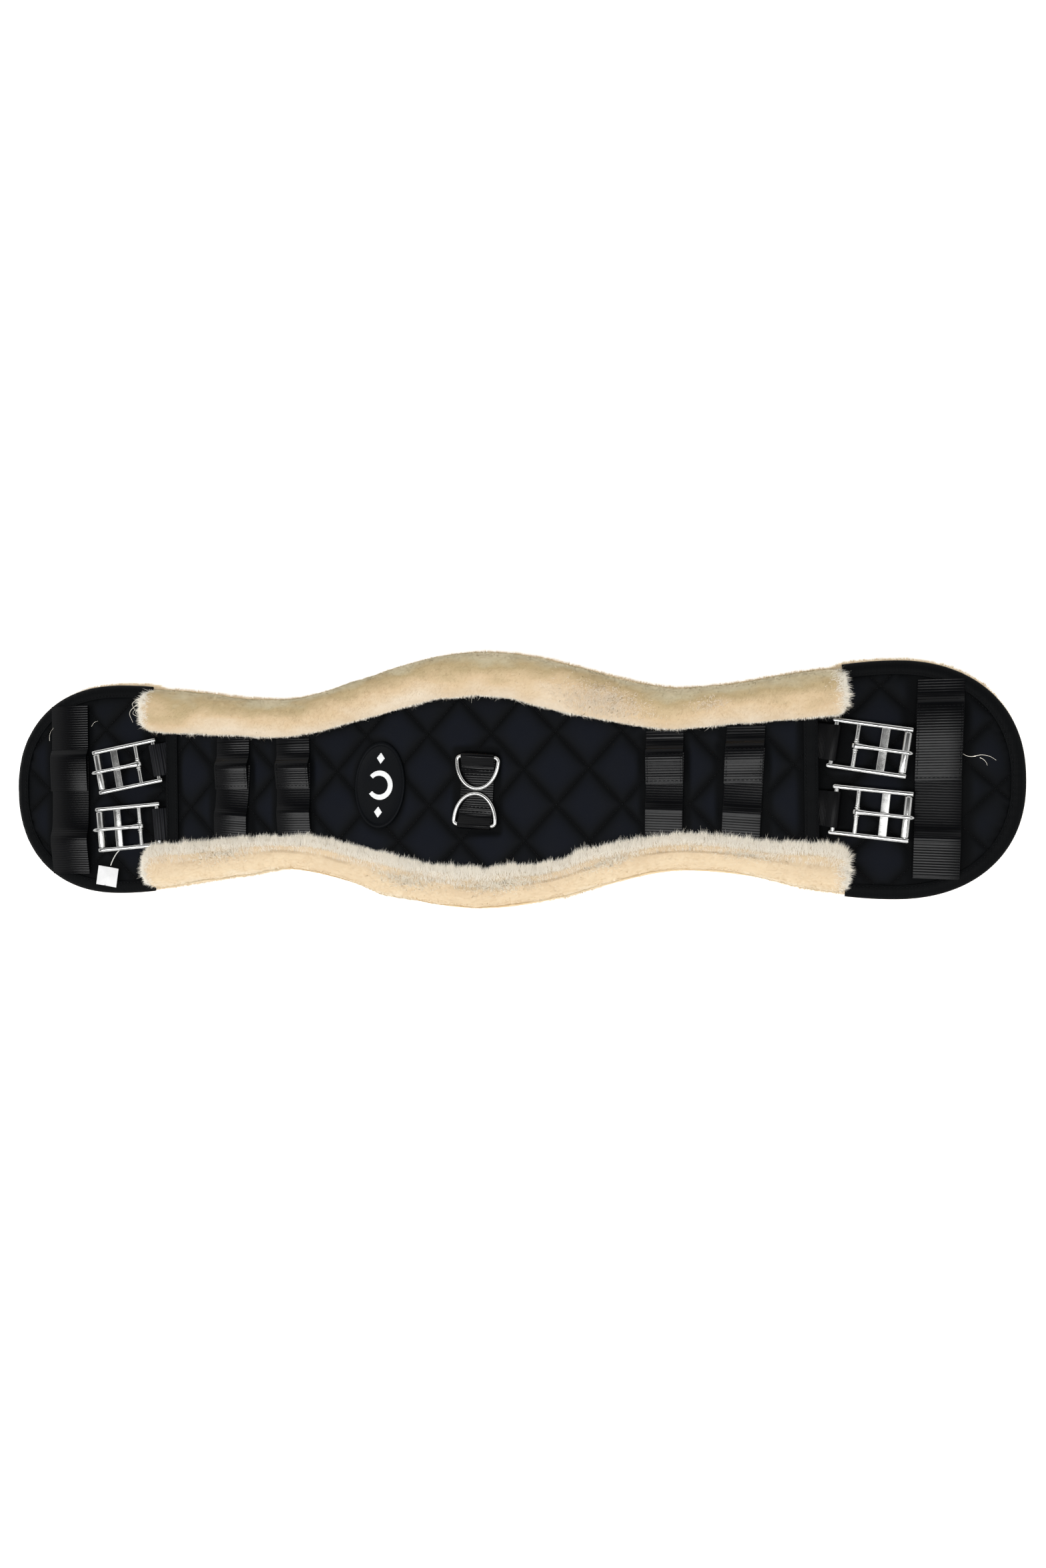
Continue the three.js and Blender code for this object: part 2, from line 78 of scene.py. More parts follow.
camera = put("camera", bpy.data.cameras.new("camera"))
scene.camera = camera
camera.data.lens = CAMERA_LENS
camera.data.clip_start = 0.01
lean = Matrix.Rotation(CAMERA_LEAN, 4, "Y") @ Matrix.Rotation(CAMERA_ROLL, 4, "Z")
camera.matrix_world = Matrix.Translation(AIM) @ lean @ Matrix.Translation((0, 0, CAMERA_DISTANCE))

# ---- Sizes, as in the CAD

LINER_HALF_LENGTH = 428
BELLY_HALF_WIDTH = 106
BELLY_REACH = 170
BELLY_POWER = 1.6
WAIST_HALF_WIDTH = 74
END_HALF_WIDTH = 90.5
END_START = 330
END_POWER = 2.25
FLEECE_OVERHANG = 2.2
BINDING_WIDTH = 9.2
ROLL_HALF_LENGTH = 297
PANEL_HALF_LENGTH = 277
PANEL_INSET = 29.3
HEM_WIDTH = 11


def box_mm(node):
    """Lowest and highest corners of a CAD node, in millimetres."""
    return [np.array(corner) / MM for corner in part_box(node)]


def levels(node):
    """Lowest and highest Z of a CAD node, in millimetres."""
    return [corner[2] for corner in box_mm(node)]


COVER_BOTTOM, COVER_TOP = levels("liner_quilted_cover")
BINDING_BOTTOM = levels("edge_binding_left")[0]
PANEL_BOTTOM, PANEL_TOP = levels("girth_quilted_panel")
FLEECE_TOP = levels("fleece_lining")[1]
ROLL_BOTTOM, ROLL_TOP = levels("fleece_roll_upper")

# ---- Shape helpers


def join(*geometries):
    """One geometry from several."""
    vertices, faces, start = [], [], 0
    for part_vertices, part_faces in geometries:
        part_vertices = np.asarray(part_vertices, float)
        vertices.append(part_vertices)
        faces += [tuple(start + i for i in face) for face in part_faces]
        start += len(part_vertices)
    return np.concatenate(vertices), faces


def loft(rows, closed_path=False, caps=True):
    """A skin over rows of closed sections, each row holding the same number of points."""
    rows = np.asarray(rows, float)
    count, around = rows.shape[:2]
    faces = []
    for i in range(count if closed_path else count - 1):
        a, b = i * around, ((i + 1) % count) * around
        faces += [(a + j, a + (j + 1) % around, b + (j + 1) % around, b + j) for j in range(around)]
    if caps and not closed_path:
        faces.append(tuple(range(around))[::-1])
        faces.append(tuple((count - 1) * around + j for j in range(around)))
    return rows.reshape(-1, 3), faces


def rounded(width, height, radius, per_corner=3):
    """A rectangle with round corners, centred, as (across, up) points."""
    corners = ((1, 1, 0), (-1, 1, 90), (-1, -1, 180), (1, -1, 270))
    points = []
    for sx, sy, start in corners:
        for turn in np.radians(start + np.linspace(0, 90, per_corner)):
            x = sx * (width / 2 - radius) + radius * math.cos(turn)
            points.append((x, sy * (height / 2 - radius) + radius * math.sin(turn)))
    return np.array(points)


def circle(radius, sides):
    turns = np.arange(sides) * 2 * math.pi / sides
    return np.stack([radius * np.cos(turns), radius * np.sin(turns)], 1)


def resample(points, step):
    """Evenly spaced points along a line, at about the given step."""
    points = np.asarray(points, float)
    run = np.concatenate([[0], np.cumsum(np.linalg.norm(np.diff(points, axis=0), axis=1))])
    even = np.linspace(0, run[-1], max(2, round(run[-1] / step) + 1))
    return np.stack([np.interp(even, run, points[:, k]) for k in range(points.shape[1])], 1)


def spline(points, step):
    """Evenly spaced points along a smooth line through the given ones."""
    p = np.asarray(points, float)
    p = np.concatenate([[2 * p[0] - p[1]], p, [2 * p[-1] - p[-2]]])
    t = np.linspace(0, 1, 16, endpoint=False)[:, None]
    parts = []
    for a, b, c, d in zip(p, p[1:], p[2:], p[3:]):
        parts.append(0.5 * (2 * b + (c - a) * t + (2 * a - 5 * b + 4 * c - d) * t**2 + (3 * b - a - 3 * c + d) * t**3))
    return resample(np.concatenate([*parts, p[-2:-1]]), step)


def frames_along(points):
    """Tangents of a line of points."""
    tangents = np.gradient(np.asarray(points, float), axis=0)
    return tangents / np.linalg.norm(tangents, axis=1)[:, None]


def right_of(tangents):
    """The flat directions to the right of tangents. Along the liner's edge they point out of it."""
    return np.stack([tangents[:, 1], -tangents[:, 0]], 1)


def tube(points, radius, sides=12, closed=False, taper=None):
    """A round bar along a line of points in 3D."""
    points = np.asarray(points, float)
    tangents = np.roll(points, -1, 0) - np.roll(points, 1, 0) if closed else frames_along(points)
    tangents = tangents / np.linalg.norm(tangents, axis=1)[:, None]
    up = np.array([0.0, 0.0, 1.0]) if abs(tangents[0][2]) < 0.9 else np.array([1.0, 0.0, 0.0])
    ring = circle(1, sides)
    rows = []
    for i, (point, tangent) in enumerate(zip(points, tangents)):
        up = up - tangent * up.dot(tangent)
        up = up / np.linalg.norm(up)
        side = np.cross(tangent, up)
        size = radius * (taper[i] if taper is not None else 1)
        rows.append(point + size * (ring[:, :1] * side + ring[:, 1:] * up))
    return loft(rows, closed_path=closed)


def ribbon(path, width, thickness, rib_pitch=0, rib_height=0, wobble=None):
    """A flat strip along a path of (run, z) points, with its width across, as (run, across, z)."""
    path = np.asarray(path, float)
    tangents = frames_along(path)
    normals = np.stack([-tangents[:, 1], tangents[:, 0]], 1)
    run = np.concatenate([[0], np.cumsum(np.linalg.norm(np.diff(path, axis=0), axis=1))])
    section = rounded(width, thickness, thickness * 0.45)
    rows = []
    for i, (point, normal) in enumerate(zip(path, normals)):
        rib = rib_height * math.cos(2 * math.pi * run[i] / rib_pitch) / 2 if rib_pitch else 0
        narrow = 1 + (wobble[i] / width if wobble is not None else 0)
        lift = section[:, 1] + np.sign(section[:, 1]) * rib
        place = point + lift[:, None] * normal
        rows.append(np.stack([place[:, 0], section[:, 0] * narrow, place[:, 1]], 1))
    return loft(rows)


def moved(geometry, matrix):
    """A geometry through a 4x4 matrix in millimetres."""
    vertices, faces = geometry
    m = np.array(matrix)
    return np.asarray(vertices) @ m[:3, :3].T + m[:3, 3], faces


def shifted(geometry, x):
    return moved(geometry, Matrix.Translation((x, 0, 0)))


def swapped(geometry):
    """A geometry with its X and Y exchanged and its faces still outwards."""
    vertices, faces = geometry
    return np.asarray(vertices)[:, [1, 0, 2]], [face[::-1] for face in faces]


def rough(points, size, seed, stretch=(1, 1, 1)):
    """Smooth noise between about -1 and 1 at each point."""
    scaled = np.asarray(points) * np.array(stretch) / size + seed * 17.3
    return np.array([noise.noise(Vector(p)) for p in scaled])


def rough_line(x, size, seed):
    """Smooth noise along a line of numbers."""
    return rough(np.column_stack([x, x * 0, x * 0]), size, seed)


def editable(vertices, faces):
    """A geometry as a bmesh."""
    mesh = bpy.data.meshes.new("work")
    mesh.from_pydata(np.asarray(vertices).tolist(), [], faces)
    shape = bmesh.new()
    shape.from_mesh(mesh)
    return shape


def settled_shape(shape):
    """A bmesh as a geometry. The bmesh is freed."""
    shape.verts.index_update()
    result = np.array([v.co for v in shape.verts]), [[v.index for v in f.verts] for f in shape.faces]
    shape.free()
    return result


def stitches(points, up=(0, 0, 1), pitch=3.3, length=2.5, width=0.75):
    """A row of thread loops along a line of points."""
    points = resample(points, pitch)
    tangents = frames_along(points)
    up = np.array(up, float)
    shape = np.array([[-1, 0, 0], [-0.55, 1, 0], [-0.55, 0, 1], [-0.55, -1, 0], [-0.55, 0, -0.6],
                      [0.55, 1, 0], [0.55, 0, 1], [0.55, -1, 0], [0.55, 0, -0.6], [1, 0, 0]])  # fmt: skip
    loop = [(1, 2), (2, 3), (3, 4), (4, 1)]
    faces = [(0, b, a) for a, b in loop] + [(a, b, b + 4, a + 4) for a, b in loop]
    faces += [(9, a + 4, b + 4) for a, b in loop]
    parts = []
    for point, tangent in zip(points, tangents):
        side = np.cross(up, tangent)
        basis = np.stack([tangent * length / 2, side * width / 2, up * width / 2])
        parts.append((point + shape @ basis, faces))
    return join(*parts)


# ---- Materials


class Look:
    """A material's nodes. Inputs given as sockets are linked, and the rest are set."""

    def __init__(self, name, **surface):
        self.material = bpy.data.materials.new(name)
        self.material.use_nodes = True
        self.tree = self.material.node_tree
        self.shader = self.tree.nodes["Principled BSDF"]
        self.set(self.shader, {key.replace("_", " "): value for key, value in surface.items()})

    def set(self, node, inputs):
        for key, value in inputs.items():
            if isinstance(value, bpy.types.NodeSocket):
                self.tree.links.new(value, node.inputs[key])
            else:
                node.inputs[key].default_value = value

    def add(self, kind, inputs=None, **settings):
        node = self.tree.nodes.new("ShaderNode" + kind)
        for key, value in settings.items():
            setattr(node, key, value)
        self.set(node, inputs or {})
        return node

    def place(self, scale=(1, 1, 1), turn=(0, 0, 0)):
        """The piece's own coordinates in millimetres, scaled and turned."""
        where = self.add("TexCoord").outputs["Object"]
        scale = tuple(s / MM for s in scale)
        return self.add("Mapping", {"Vector": where, "Scale": scale, "Rotation": turn}).outputs[0]

    def noise(self, scale, detail=3, stretch=(1, 1, 1), roughness=0.55):
        inputs = {"Vector": self.place(stretch), "Scale": scale, "Detail": detail, "Roughness": roughness}
        return self.add("TexNoise", inputs).outputs[0]

    def waves(self, pitch, direction, distortion=0.0, detail=0):
        """Ribs of the given pitch in millimetres across the X, Y or Z direction."""
        inputs = {"Vector": self.place(), "Scale": 1 / pitch / 3.1831, "Distortion": distortion}
        inputs.update({"Detail": detail, "Detail Scale": 1.0})
        return self.add("TexWave", inputs, bands_direction=direction, wave_profile="SIN").outputs["Fac"]

    def math(self, operation, a, b=0.0):
        return self.add("Math", {0: a, 1: b}, operation=operation).outputs[0]

    def blend(self, share, a, b):
        """A share of one value and the rest of another."""
        return self.math("ADD", self.math("MULTIPLY", a, share), self.math("MULTIPLY", b, 1 - share))

    def ramp(self, value, *stops):
        """Colours along a value, as (position, colour) pairs."""
        node = self.add("ValToRGB", {"Fac": value})
        elements = node.color_ramp.elements
        while len(elements) < len(stops):
            elements.new(0.5)
        for element, (position, colour) in zip(elements, stops):
            element.position = position
            element.color = (*colour, 1)
        return node.outputs[0]

    def spread(self, value, low, high):
        """A value from 0 to 1 mapped to low to high."""
        return self.add("MapRange", {"Value": value, "To Min": low, "To Max": high}).outputs[0]

    def mix(self, factor, a, b, blend="MIX"):
        node = self.add("Mix", data_type="RGBA", blend_type=blend)
        sockets = [s for s in node.inputs if s.enabled]
        for socket, value in zip(sockets, (factor, a, b)):
            if isinstance(value, bpy.types.NodeSocket):
                self.tree.links.new(value, socket)
            else:
                socket.default_value = value if not isinstance(value, tuple) else (*value, 1)
        return next(s for s in node.outputs if s.enabled)

    def bump(self, height, distance, strength=1.0, under=None):
        """A bump of the given height in millimetres."""
        inputs = {"Height": height, "Distance": distance * MM, "Strength": strength}
        if under is not None:
            inputs["Normal"] = under
        return self.add("Bump", inputs).outputs[0]

    def finish(self, **inputs):
        self.set(self.shader, {key.replace("_", " "): value for key, value in inputs.items()})
        return self.material


def srgb(red, green, blue):
    """A colour given as 0 to 255 values, made linear."""
    return tuple((c / 255 / 12.92 if c <= 10 else ((c / 255 + 0.055) / 1.055) ** 2.4) for c in (red, green, blue))


def fleece_look(name, stops, fleck_and_root_shade):
    """Cream pile: colours across the roll from its outer edge in, and a deeper colour painted as shade at the fibres'
    roots and on the skin beneath them, where the pile parts; random flecks of it too.
    """
    look = Look(name, Sheen_Weight=0.08, Sheen_Roughness=0.5, Specular_IOR_Level=0.12)
    patches = look.noise(0.018, 3, (1, 2.2, 1))
    fine = look.noise(0.4, 3, (0.5, 1.5, 1))
    across = look.add("Attribute", attribute_name="across").outputs["Fac"]
    tone = look.add("Attribute", attribute_name="tone").outputs["Fac"]
    drift = look.math("ADD", across, look.spread(patches, -0.42, 0.42))
    colour = look.ramp(drift, *stops)
    # a deeper colour towards the fibres' roots and on the skin under them: painted shade between the fibres
    colour = look.mix(look.spread(tone, 0.3, 0.0), colour, fleck_and_root_shade)
    colour = look.mix(look.spread(fine, 0.14, 0.0), colour, fleck_and_root_shade)
    return look.finish(Base_Color=colour, Roughness=look.spread(fine, 0.75, 0.95), Normal=look.bump(fine, 0.3, 0.3))


def quilt_look(name):
    """Black poly-cotton: a fine plain weave, with random worn patches, painted dark in the creases as shade and paler
    on the crowns as painted light.
    """
    look = Look(name, Sheen_Weight=0.01, Sheen_Roughness=0.4, Specular_IOR_Level=0.07)
    worn = look.noise(0.05, 5)
    weave = look.math("MULTIPLY", look.waves(0.55, "X"), look.waves(0.55, "Y"))
    crumple = look.noise(0.16, 4)
    rise = look.add("Attribute", attribute_name="rise").outputs["Fac"]
    # the creases are painted dark as shade and the crowns paler as painted light, with the worn patches mixed in
    level = look.blend(0.72, rise, worn)
    colour = look.ramp(level, (0.12, srgb(2, 3, 4)), (0.5, srgb(10, 12, 15)), (0.95, srgb(16, 19, 27)))
    normal = look.bump(weave, 0.07, 0.5, look.bump(crumple, 0.6, 0.4))
    return look.finish(Base_Color=colour, Roughness=look.spread(worn, 0.55, 0.8), Normal=normal)


def woven_look(name, dark, light, pitch, direction, bump=0.2, roughness=(0.3, 0.6), gloss=0.45):
    """Black webbing: ribs across it, finer threads along it, and a satin shine on the raised yarns, which are painted
    lighter than the dips between them as painted light and shade.
    """
    look = Look(name, Specular_IOR_Level=gloss)
    ribs = look.waves(pitch, direction, 0.6, 1)
    threads = look.waves(0.75, "X" if direction == "Y" else "Y", 1.2, 1)
    fuzz = look.noise(0.9, 3)
    yarn = look.math("MULTIPLY", ribs, look.spread(threads, 0.55, 1.0))
    # raised yarns painted lighter and the dips darker: painted light and shade
    colour = look.ramp(look.blend(0.75, yarn, fuzz), (0.15, dark), (0.9, light))
    normal = look.bump(yarn, bump, 0.7, look.bump(fuzz, 0.06, 0.3))
    return look.finish(Base_Color=colour, Roughness=look.spread(yarn, roughness[1], roughness[0]), Normal=normal)


def steel_look(name):
    """Polished stainless steel with hairline scratches and duller patches."""
    look = Look(name, Metallic=1.0)
    smudge = look.noise(0.09, 4)
    scratch = look.noise(0.7, 2, (0.12, 2.2, 1))
    colour = look.ramp(smudge, (0.3, srgb(186, 186, 184)), (0.7, srgb(222, 222, 220)))
    roughness = look.math("ADD", look.spread(smudge, 0.08, 0.2), look.spread(scratch, 0.0, 0.07))
    return look.finish(Base_Color=colour, Roughness=roughness, Normal=look.bump(scratch, 0.03, 0.25))


def rubber_look(name):
    look = Look(name, Specular_IOR_Level=0.06)
    grain = look.noise(1.4, 4)
    worn = look.noise(0.07, 3)
    colour = look.ramp(worn, (0.3, srgb(5, 7, 10)), (0.7, srgb(8, 10, 14)))
    return look.finish(Base_Color=colour, Roughness=look.spread(worn, 0.35, 0.55), Normal=look.bump(grain, 0.06, 0.5))


def plain_look(name, low, high, roughness, scale=0.8, bump=0.05, gloss=0.3):
    """A matte surface with a fine grain, for the thread, the card, the motif and the foam."""
    look = Look(name, Specular_IOR_Level=gloss)
    grain = look.noise(scale, 4)
    blotch = look.noise(0.09, 3)
    colour = look.ramp(look.blend(0.4, grain, blotch), (0.35, low), (0.65, high))
    return look.finish(Base_Color=colour, Roughness=look.spread(grain, *roughness), Normal=look.bump(grain, bump, 0.6))


# the upper roll's pile is painted a darker tan towards its outer edge as shade, and paler at its inner edge as a
# painted highlight
FLEECE_UPPER = fleece_look("fleece_upper", ((0.1, srgb(226, 214, 186)), (0.27, srgb(206, 196, 166)),
                                              (0.4, srgb(196, 176, 136)), (0.6, srgb(228, 204, 168)),
                                              (0.88, srgb(242, 228, 206))),
                           srgb(180, 156, 116))  # fmt: skip
# the lower roll's pile is painted paler towards its outer edge as painted light, and is darker towards its inner lip
FLEECE_LOWER = fleece_look("fleece_lower", ((0.0, srgb(251, 243, 225)), (0.25, srgb(242, 223, 191)),
                                              (0.6, srgb(236, 215, 183)), (0.95, srgb(214, 192, 154))),
                           srgb(184, 160, 120))  # fmt: skip
FRINGE = fleece_look("fleece_fringe", ((0.0, srgb(255, 252, 243)), (1.0, srgb(255, 249, 236))), srgb(226, 207, 173))
QUILT = quilt_look("quilted_cotton")
BINDING = woven_look("binding_tape", srgb(3, 4, 5), srgb(9, 11, 13), 1.1, "X", 0.08, (0.5, 0.7), 0.07)
WEBBING_ALONG_Y = woven_look("webbing", srgb(1, 1, 2), srgb(5, 6, 9), 2.1, "Y", 0.07, (0.2, 0.28), 0.17)
WEBBING_ALONG_X = woven_look("webbing_plain", srgb(2, 2, 3), srgb(7, 8, 10), 1.2, "X", 0.1, (0.3, 0.44), 0.12)
# the elastic's rib crests are painted much lighter: a painted highlight
ELASTIC = woven_look("ribbed_elastic", srgb(2, 2, 3), srgb(34, 36, 41), 1.7, "X", 0.15, (0.34, 0.5), 0.14)
HOOK_TAPE = woven_look("hook_tape", srgb(5, 5, 6), srgb(20, 20, 22), 1.5, "Y", 0.3, (0.4, 0.7), 0.2)
STEEL = steel_look("polished_steel")
RUBBER = rubber_look("moulded_rubber")
WHITE = plain_look("white_motif", srgb(225, 226, 226), srgb(246, 247, 247), (0.45, 0.65))
CARD = plain_look("blank_card", srgb(226, 226, 226), srgb(244, 244, 244), (0.6, 0.8), 2.0)
THREAD = plain_look("white_thread", srgb(204, 202, 194), srgb(238, 237, 232), (0.7, 0.9), 3.0, 0.1)
SEWING = plain_look("black_thread", srgb(3, 4, 5), srgb(9, 10, 13), (0.4, 0.6), 2.0, 0.05, 0.14)
FOAM = plain_look("foam", srgb(120, 120, 118), srgb(150, 150, 147), (0.8, 0.95), 1.5, 0.2)

# ---- Pieces


def add_piece(name, geometry, material, body=ROOT, replaces=(), sharp=40, place=None, attributes=None):
    """Makes a piece from a geometry in millimetres, and hands it to the frame."""
    vertices, faces = geometry
    mesh = bpy.data.meshes.new(name)
    mesh.from_pydata((np.asarray(vertices) * MM).tolist(), [], [tuple(map(int, face)) for face in faces])
    for key, values in (attributes or {}).items():
        mesh.attributes.new(key, "FLOAT", "POINT").data.foreach_set("value", np.asarray(values, np.float32))
    mesh.materials.append(material)
    mesh.shade_smooth()
    if sharp:
        outwards(mesh)
        mesh.set_sharp_from_angle(angle=math.radians(sharp))
    piece = put(name, mesh)
    if place is not None:
        piece.matrix_world = place
    hand_over(piece, body, replaces)
    return piece


def hand_over(piece, body, replaces):
    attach(piece, body)
    if replaces:
        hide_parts(*replaces)


def outwards(mesh):
    shape = bmesh.new()
    shape.from_mesh(mesh)
    bmesh.ops.recalc_face_normals(shape, faces=shape.faces)
    shape.to_mesh(mesh)
    shape.free()


# ---- The liner's outline


def smoothstep(x, low, high):
    t = np.clip((x - low) / (high - low), 0, 1)
    return t * t * (3 - 2 * t)


def half_width(x):
    """Half the liner's width between its rounded ends."""
    d = np.abs(np.asarray(x, float))
    belly = np.cos(np.pi / 2 * np.minimum(d / BELLY_REACH, 1)) ** BELLY_POWER
    flare = smoothstep(d, BELLY_REACH, END_START)
    waist = WAIST_HALF_WIDTH + (BELLY_HALF_WIDTH - WAIST_HALF_WIDTH) * belly
    return waist + (END_HALF_WIDTH - WAIST_HALF_WIDTH) * flare


def inset_half_width(x, inset):
    slope = (half_width(x + 1) - half_width(x - 1)) / 2
    return half_width(x) - inset * np.hypot(1, slope)


def liner_edge(step):
    """The liner's edge, anticlockwise from the right tip: points and outward normals."""
    turn = np.linspace(0, math.pi / 2, 60)
    end_x = END_START + (LINER_HALF_LENGTH - END_START) * np.cos(turn) ** (2 / END_POWER)
    end_y = END_HALF_WIDTH * np.sin(turn) ** (2 / END_POWER)
    side_x = np.linspace(END_START, 0, 130)[1:]
    quarter = np.stack([np.append(end_x, side_x), np.append(end_y, half_width(side_x))], 1)
    quarter = resample(quarter, step)
    upper = np.concatenate([quarter, (quarter * (-1, 1))[::-1][1:]])
    edge = np.concatenate([upper, (upper * (1, -1))[::-1][1:-1]])
    tangents = np.roll(edge, -1, 0) - np.roll(edge, 1, 0)
    tangents /= np.linalg.norm(tangents, axis=1)[:, None]
    return edge, right_of(tangents)


def rows_along_edge(edge, normals, section):
    """Sections of (inset, z) points stood along an edge."""
    inset, z = np.asarray(section, float).T
    flat = edge[:, None, :] - normals[:, None, :] * inset[None, :, None]
    return np.concatenate([flat, np.broadcast_to(z[None, :, None], (*flat.shape[:2], 1))], 2)


EDGE, EDGE_NORMALS = liner_edge(2.0)


def stretch_of_edge(keep, step):
    """The unbroken run of the edge for which keep is true, as evenly spaced points and outward normals."""
    start = int(np.flatnonzero(keep & ~np.roll(keep, 1))[0])
    edge = resample(EDGE[(start + np.arange(int(keep.sum()))) % len(keep)], step)
    return edge, right_of(frames_along(edge))


# ---- Quilting: a lattice of diamonds, pinned on its seams and puffed out by a cloth simulation

SIM_UNIT = 0.1  # simulation lengths per millimetre
SIM_FRAMES = 12
STEPS_PER_CELL = 14


class Quilt:
    """A quilted sheet that keeps inside a region. The region is a function that moves points into it."""

    def __init__(self, bounds, keep_inside, cell, phase):
        self.width, self.height = cell
        self.phase = np.array(phase, float)
        self.keep_inside = keep_inside
        x0, x1, y0, y1 = bounds
        corners = [self.to_lattice(x, y) for x in (x0, x1) for y in (y0, y1)]
        self.low = np.floor(np.min(corners, axis=0)).astype(int)
        self.high = np.ceil(np.max(corners, axis=0)).astype(int)

    def to_lattice(self, x, y):
        a = (x - self.phase[0]) / self.width
        b = (y - self.phase[1]) / self.height
        return np.array([a + b, a - b])

    def to_plane(self, s, t):
        return self.phase + np.stack([(s + t) * self.width / 2, (s - t) * self.height / 2], -1)

    def sheet(self):
        """Vertices, faces and which vertices are sewn down."""
        steps = (self.high - self.low) * STEPS_PER_CELL + 1
        i, j = np.meshgrid(np.arange(steps[0]), np.arange(steps[1]), indexing="ij")
        flat = self.to_plane(self.low[0] + i / STEPS_PER_CELL, self.low[1] + j / STEPS_PER_CELL).reshape(-1, 2)
        sewn = ((i % STEPS_PER_CELL == 0) | (j % STEPS_PER_CELL == 0)).ravel()
        inside = self.keep_inside(flat)
        shift = np.linalg.norm(inside - flat, axis=1)
        near = shift < 1.6
        index = np.arange(len(flat)).reshape(steps)
        quads = np.stack([index[:-1, :-1], index[:-1, 1:], index[1:, 1:], index[1:, :-1]], -1).reshape(-1, 4)
        quads = quads[near[quads].all(1)]
        used = np.unique(quads)
        renumber = np.full(len(flat), -1)
        renumber[used] = np.arange(len(used))
        return inside[used], renumber[quads], sewn[used] | (shift[used] > 0)

    def seams(self, z):
        """Lines of stitching, broken where they leave the region."""
        lines = []
        for axis in (0, 1):
            for n in range(self.low[axis], self.high[axis] + 1):
                along = np.arange(self.low[1 - axis], self.high[1 - axis] + 0.001, 0.04)
                fixed = np.full_like(along, n)
                flat = self.to_plane(*((fixed, along) if axis == 0 else (along, fixed)))
                kept = np.linalg.norm(self.keep_inside(flat) - flat, axis=1) == 0
                if kept.sum() > 4:
                    points = flat[kept]
                    lines.append(np.column_stack([points, np.full(len(points), z)]))
        return lines


def puffed(flat, quads, sewn, pressure=0.6, slack=-0.035):
    """The sheet's vertices after a cloth simulation that swells it between its seams."""
    mesh = bpy.data.meshes.new("sim")
    start = np.column_stack([flat, np.zeros(len(flat))]) * SIM_UNIT
    mesh.from_pydata(start.tolist(), [], quads.tolist())
    cloth = put("sim", mesh)
    sheet = editable(start, quads.tolist())
    pinned = sewn | np.array([vertex.is_boundary for vertex in sheet.verts])
    sheet.free()
    cloth.vertex_groups.new(name="sewn").add([int(i) for i in np.flatnonzero(pinned)], 1.0, "REPLACE")
    modifier = cloth.modifiers.new("cloth", "CLOTH")
    settings = modifier.settings
    settings.vertex_group_mass = "sewn"
    settings.quality = 5
    settings.use_pressure = True
    settings.uniform_pressure_force = pressure
    settings.effector_weights.gravity = 0
    settings.shrink_min = slack
    settings.bending_stiffness = 0.15
    modifier.collision_settings.use_collision = False
    modifier.point_cache.frame_start = 1
    modifier.point_cache.frame_end = SIM_FRAMES + 1
    for step in range(1, SIM_FRAMES + 1):
        scene.frame_set(step)
    result = np.empty(len(flat) * 3)
    cloth.evaluated_get(bpy.context.evaluated_depsgraph_get()).data.vertices.foreach_get("co", result)
    bpy.data.objects.remove(cloth)
    scene.frame_set(1)
    return result.reshape(-1, 3) / SIM_UNIT


def quilted_geometry(quilt, seam_z, bottom_z, crown, pressed):
    """A closed quilted pad. The crown is how high its diamonds may rise, and pressed is where it is held flat."""
    flat, quads, sewn = quilt.sheet()
    swollen = puffed(flat, quads, sewn)
    rise = crown * np.tanh(np.clip(swollen[:, 2], 0, None) / 5.5) * pressed(swollen[:, :2])
    top = np.column_stack([swollen[:, :2] * 0.75 + flat * 0.25, seam_z + rise])
    shape = editable(top, quads.tolist())
    bmesh.ops.subdivide_edges(shape, edges=shape.edges, cuts=1, use_grid_fill=True, smooth=0.6)
    rim = [edge for edge in shape.edges if edge.is_boundary]
    skirt = bmesh.ops.extrude_edge_only(shape, edges=rim)["geom"]
    for vertex in (g for g in skirt if isinstance(g, bmesh.types.BMVert)):
        vertex.co.z = bottom_z
    bmesh.ops.edgeloop_fill(shape, edges=[edge for edge in shape.edges if edge.is_boundary])
    return settled_shape(shape)


def rise_above(geometry, seam_z):
    """How far each point stands above the seams: 0 in a crease and 1 on a crown."""
    return {"rise": np.clip((geometry[0][:, 2] - seam_z) / 2.4, 0, 1)}


def pressed_by(boxes, fade=6.0, least=0.05, ovals=()):
    """1 in the open, falling to least under boxes of (x0, x1, y0, y1) and under ovals that fill such boxes."""

    def factor(points):
        value = np.ones(len(points))
        for x0, x1, y0, y1 in boxes:
            out_x = np.maximum(np.maximum(x0 - points[:, 0], points[:, 0] - x1), 0)
            out_y = np.maximum(np.maximum(y0 - points[:, 1], points[:, 1] - y1), 0)
            value = np.minimum(value, least + (1 - least) * smoothstep(np.hypot(out_x, out_y), 0, fade))
        for x0, x1, y0, y1 in ovals:
            reach = np.hypot((2 * points[:, 0] - x0 - x1) / (x1 - x0), (2 * points[:, 1] - y0 - y1) / (y1 - y0))
            value = np.minimum(value, least + (1 - least) * smoothstep(reach, 0.85, 1.2))
        return value

    return factor


def footprint(*nodes, margin=1.0):
    """Boxes of (x0, x1, y0, y1) round CAD nodes."""
    boxes = [box_mm(node) for node in nodes]
    return [(low[0] - margin, high[0] + margin, low[1] - margin, high[1] + margin) for low, high in boxes]


# ---- Girth panel

STRAPS = ("left_end", "left_outer", "left_inner", "right_inner", "right_outer", "right_end")
BUCKLES = ("left_upper", "left_lower", "right_upper", "right_lower")
PANEL_CELL = (54, 59)
PANEL_PHASE = (42.7, 13)
PAD_CELL = (56, 53)
PAD_PHASES = {1: (380, 19.6), -1: (-396, 0)}


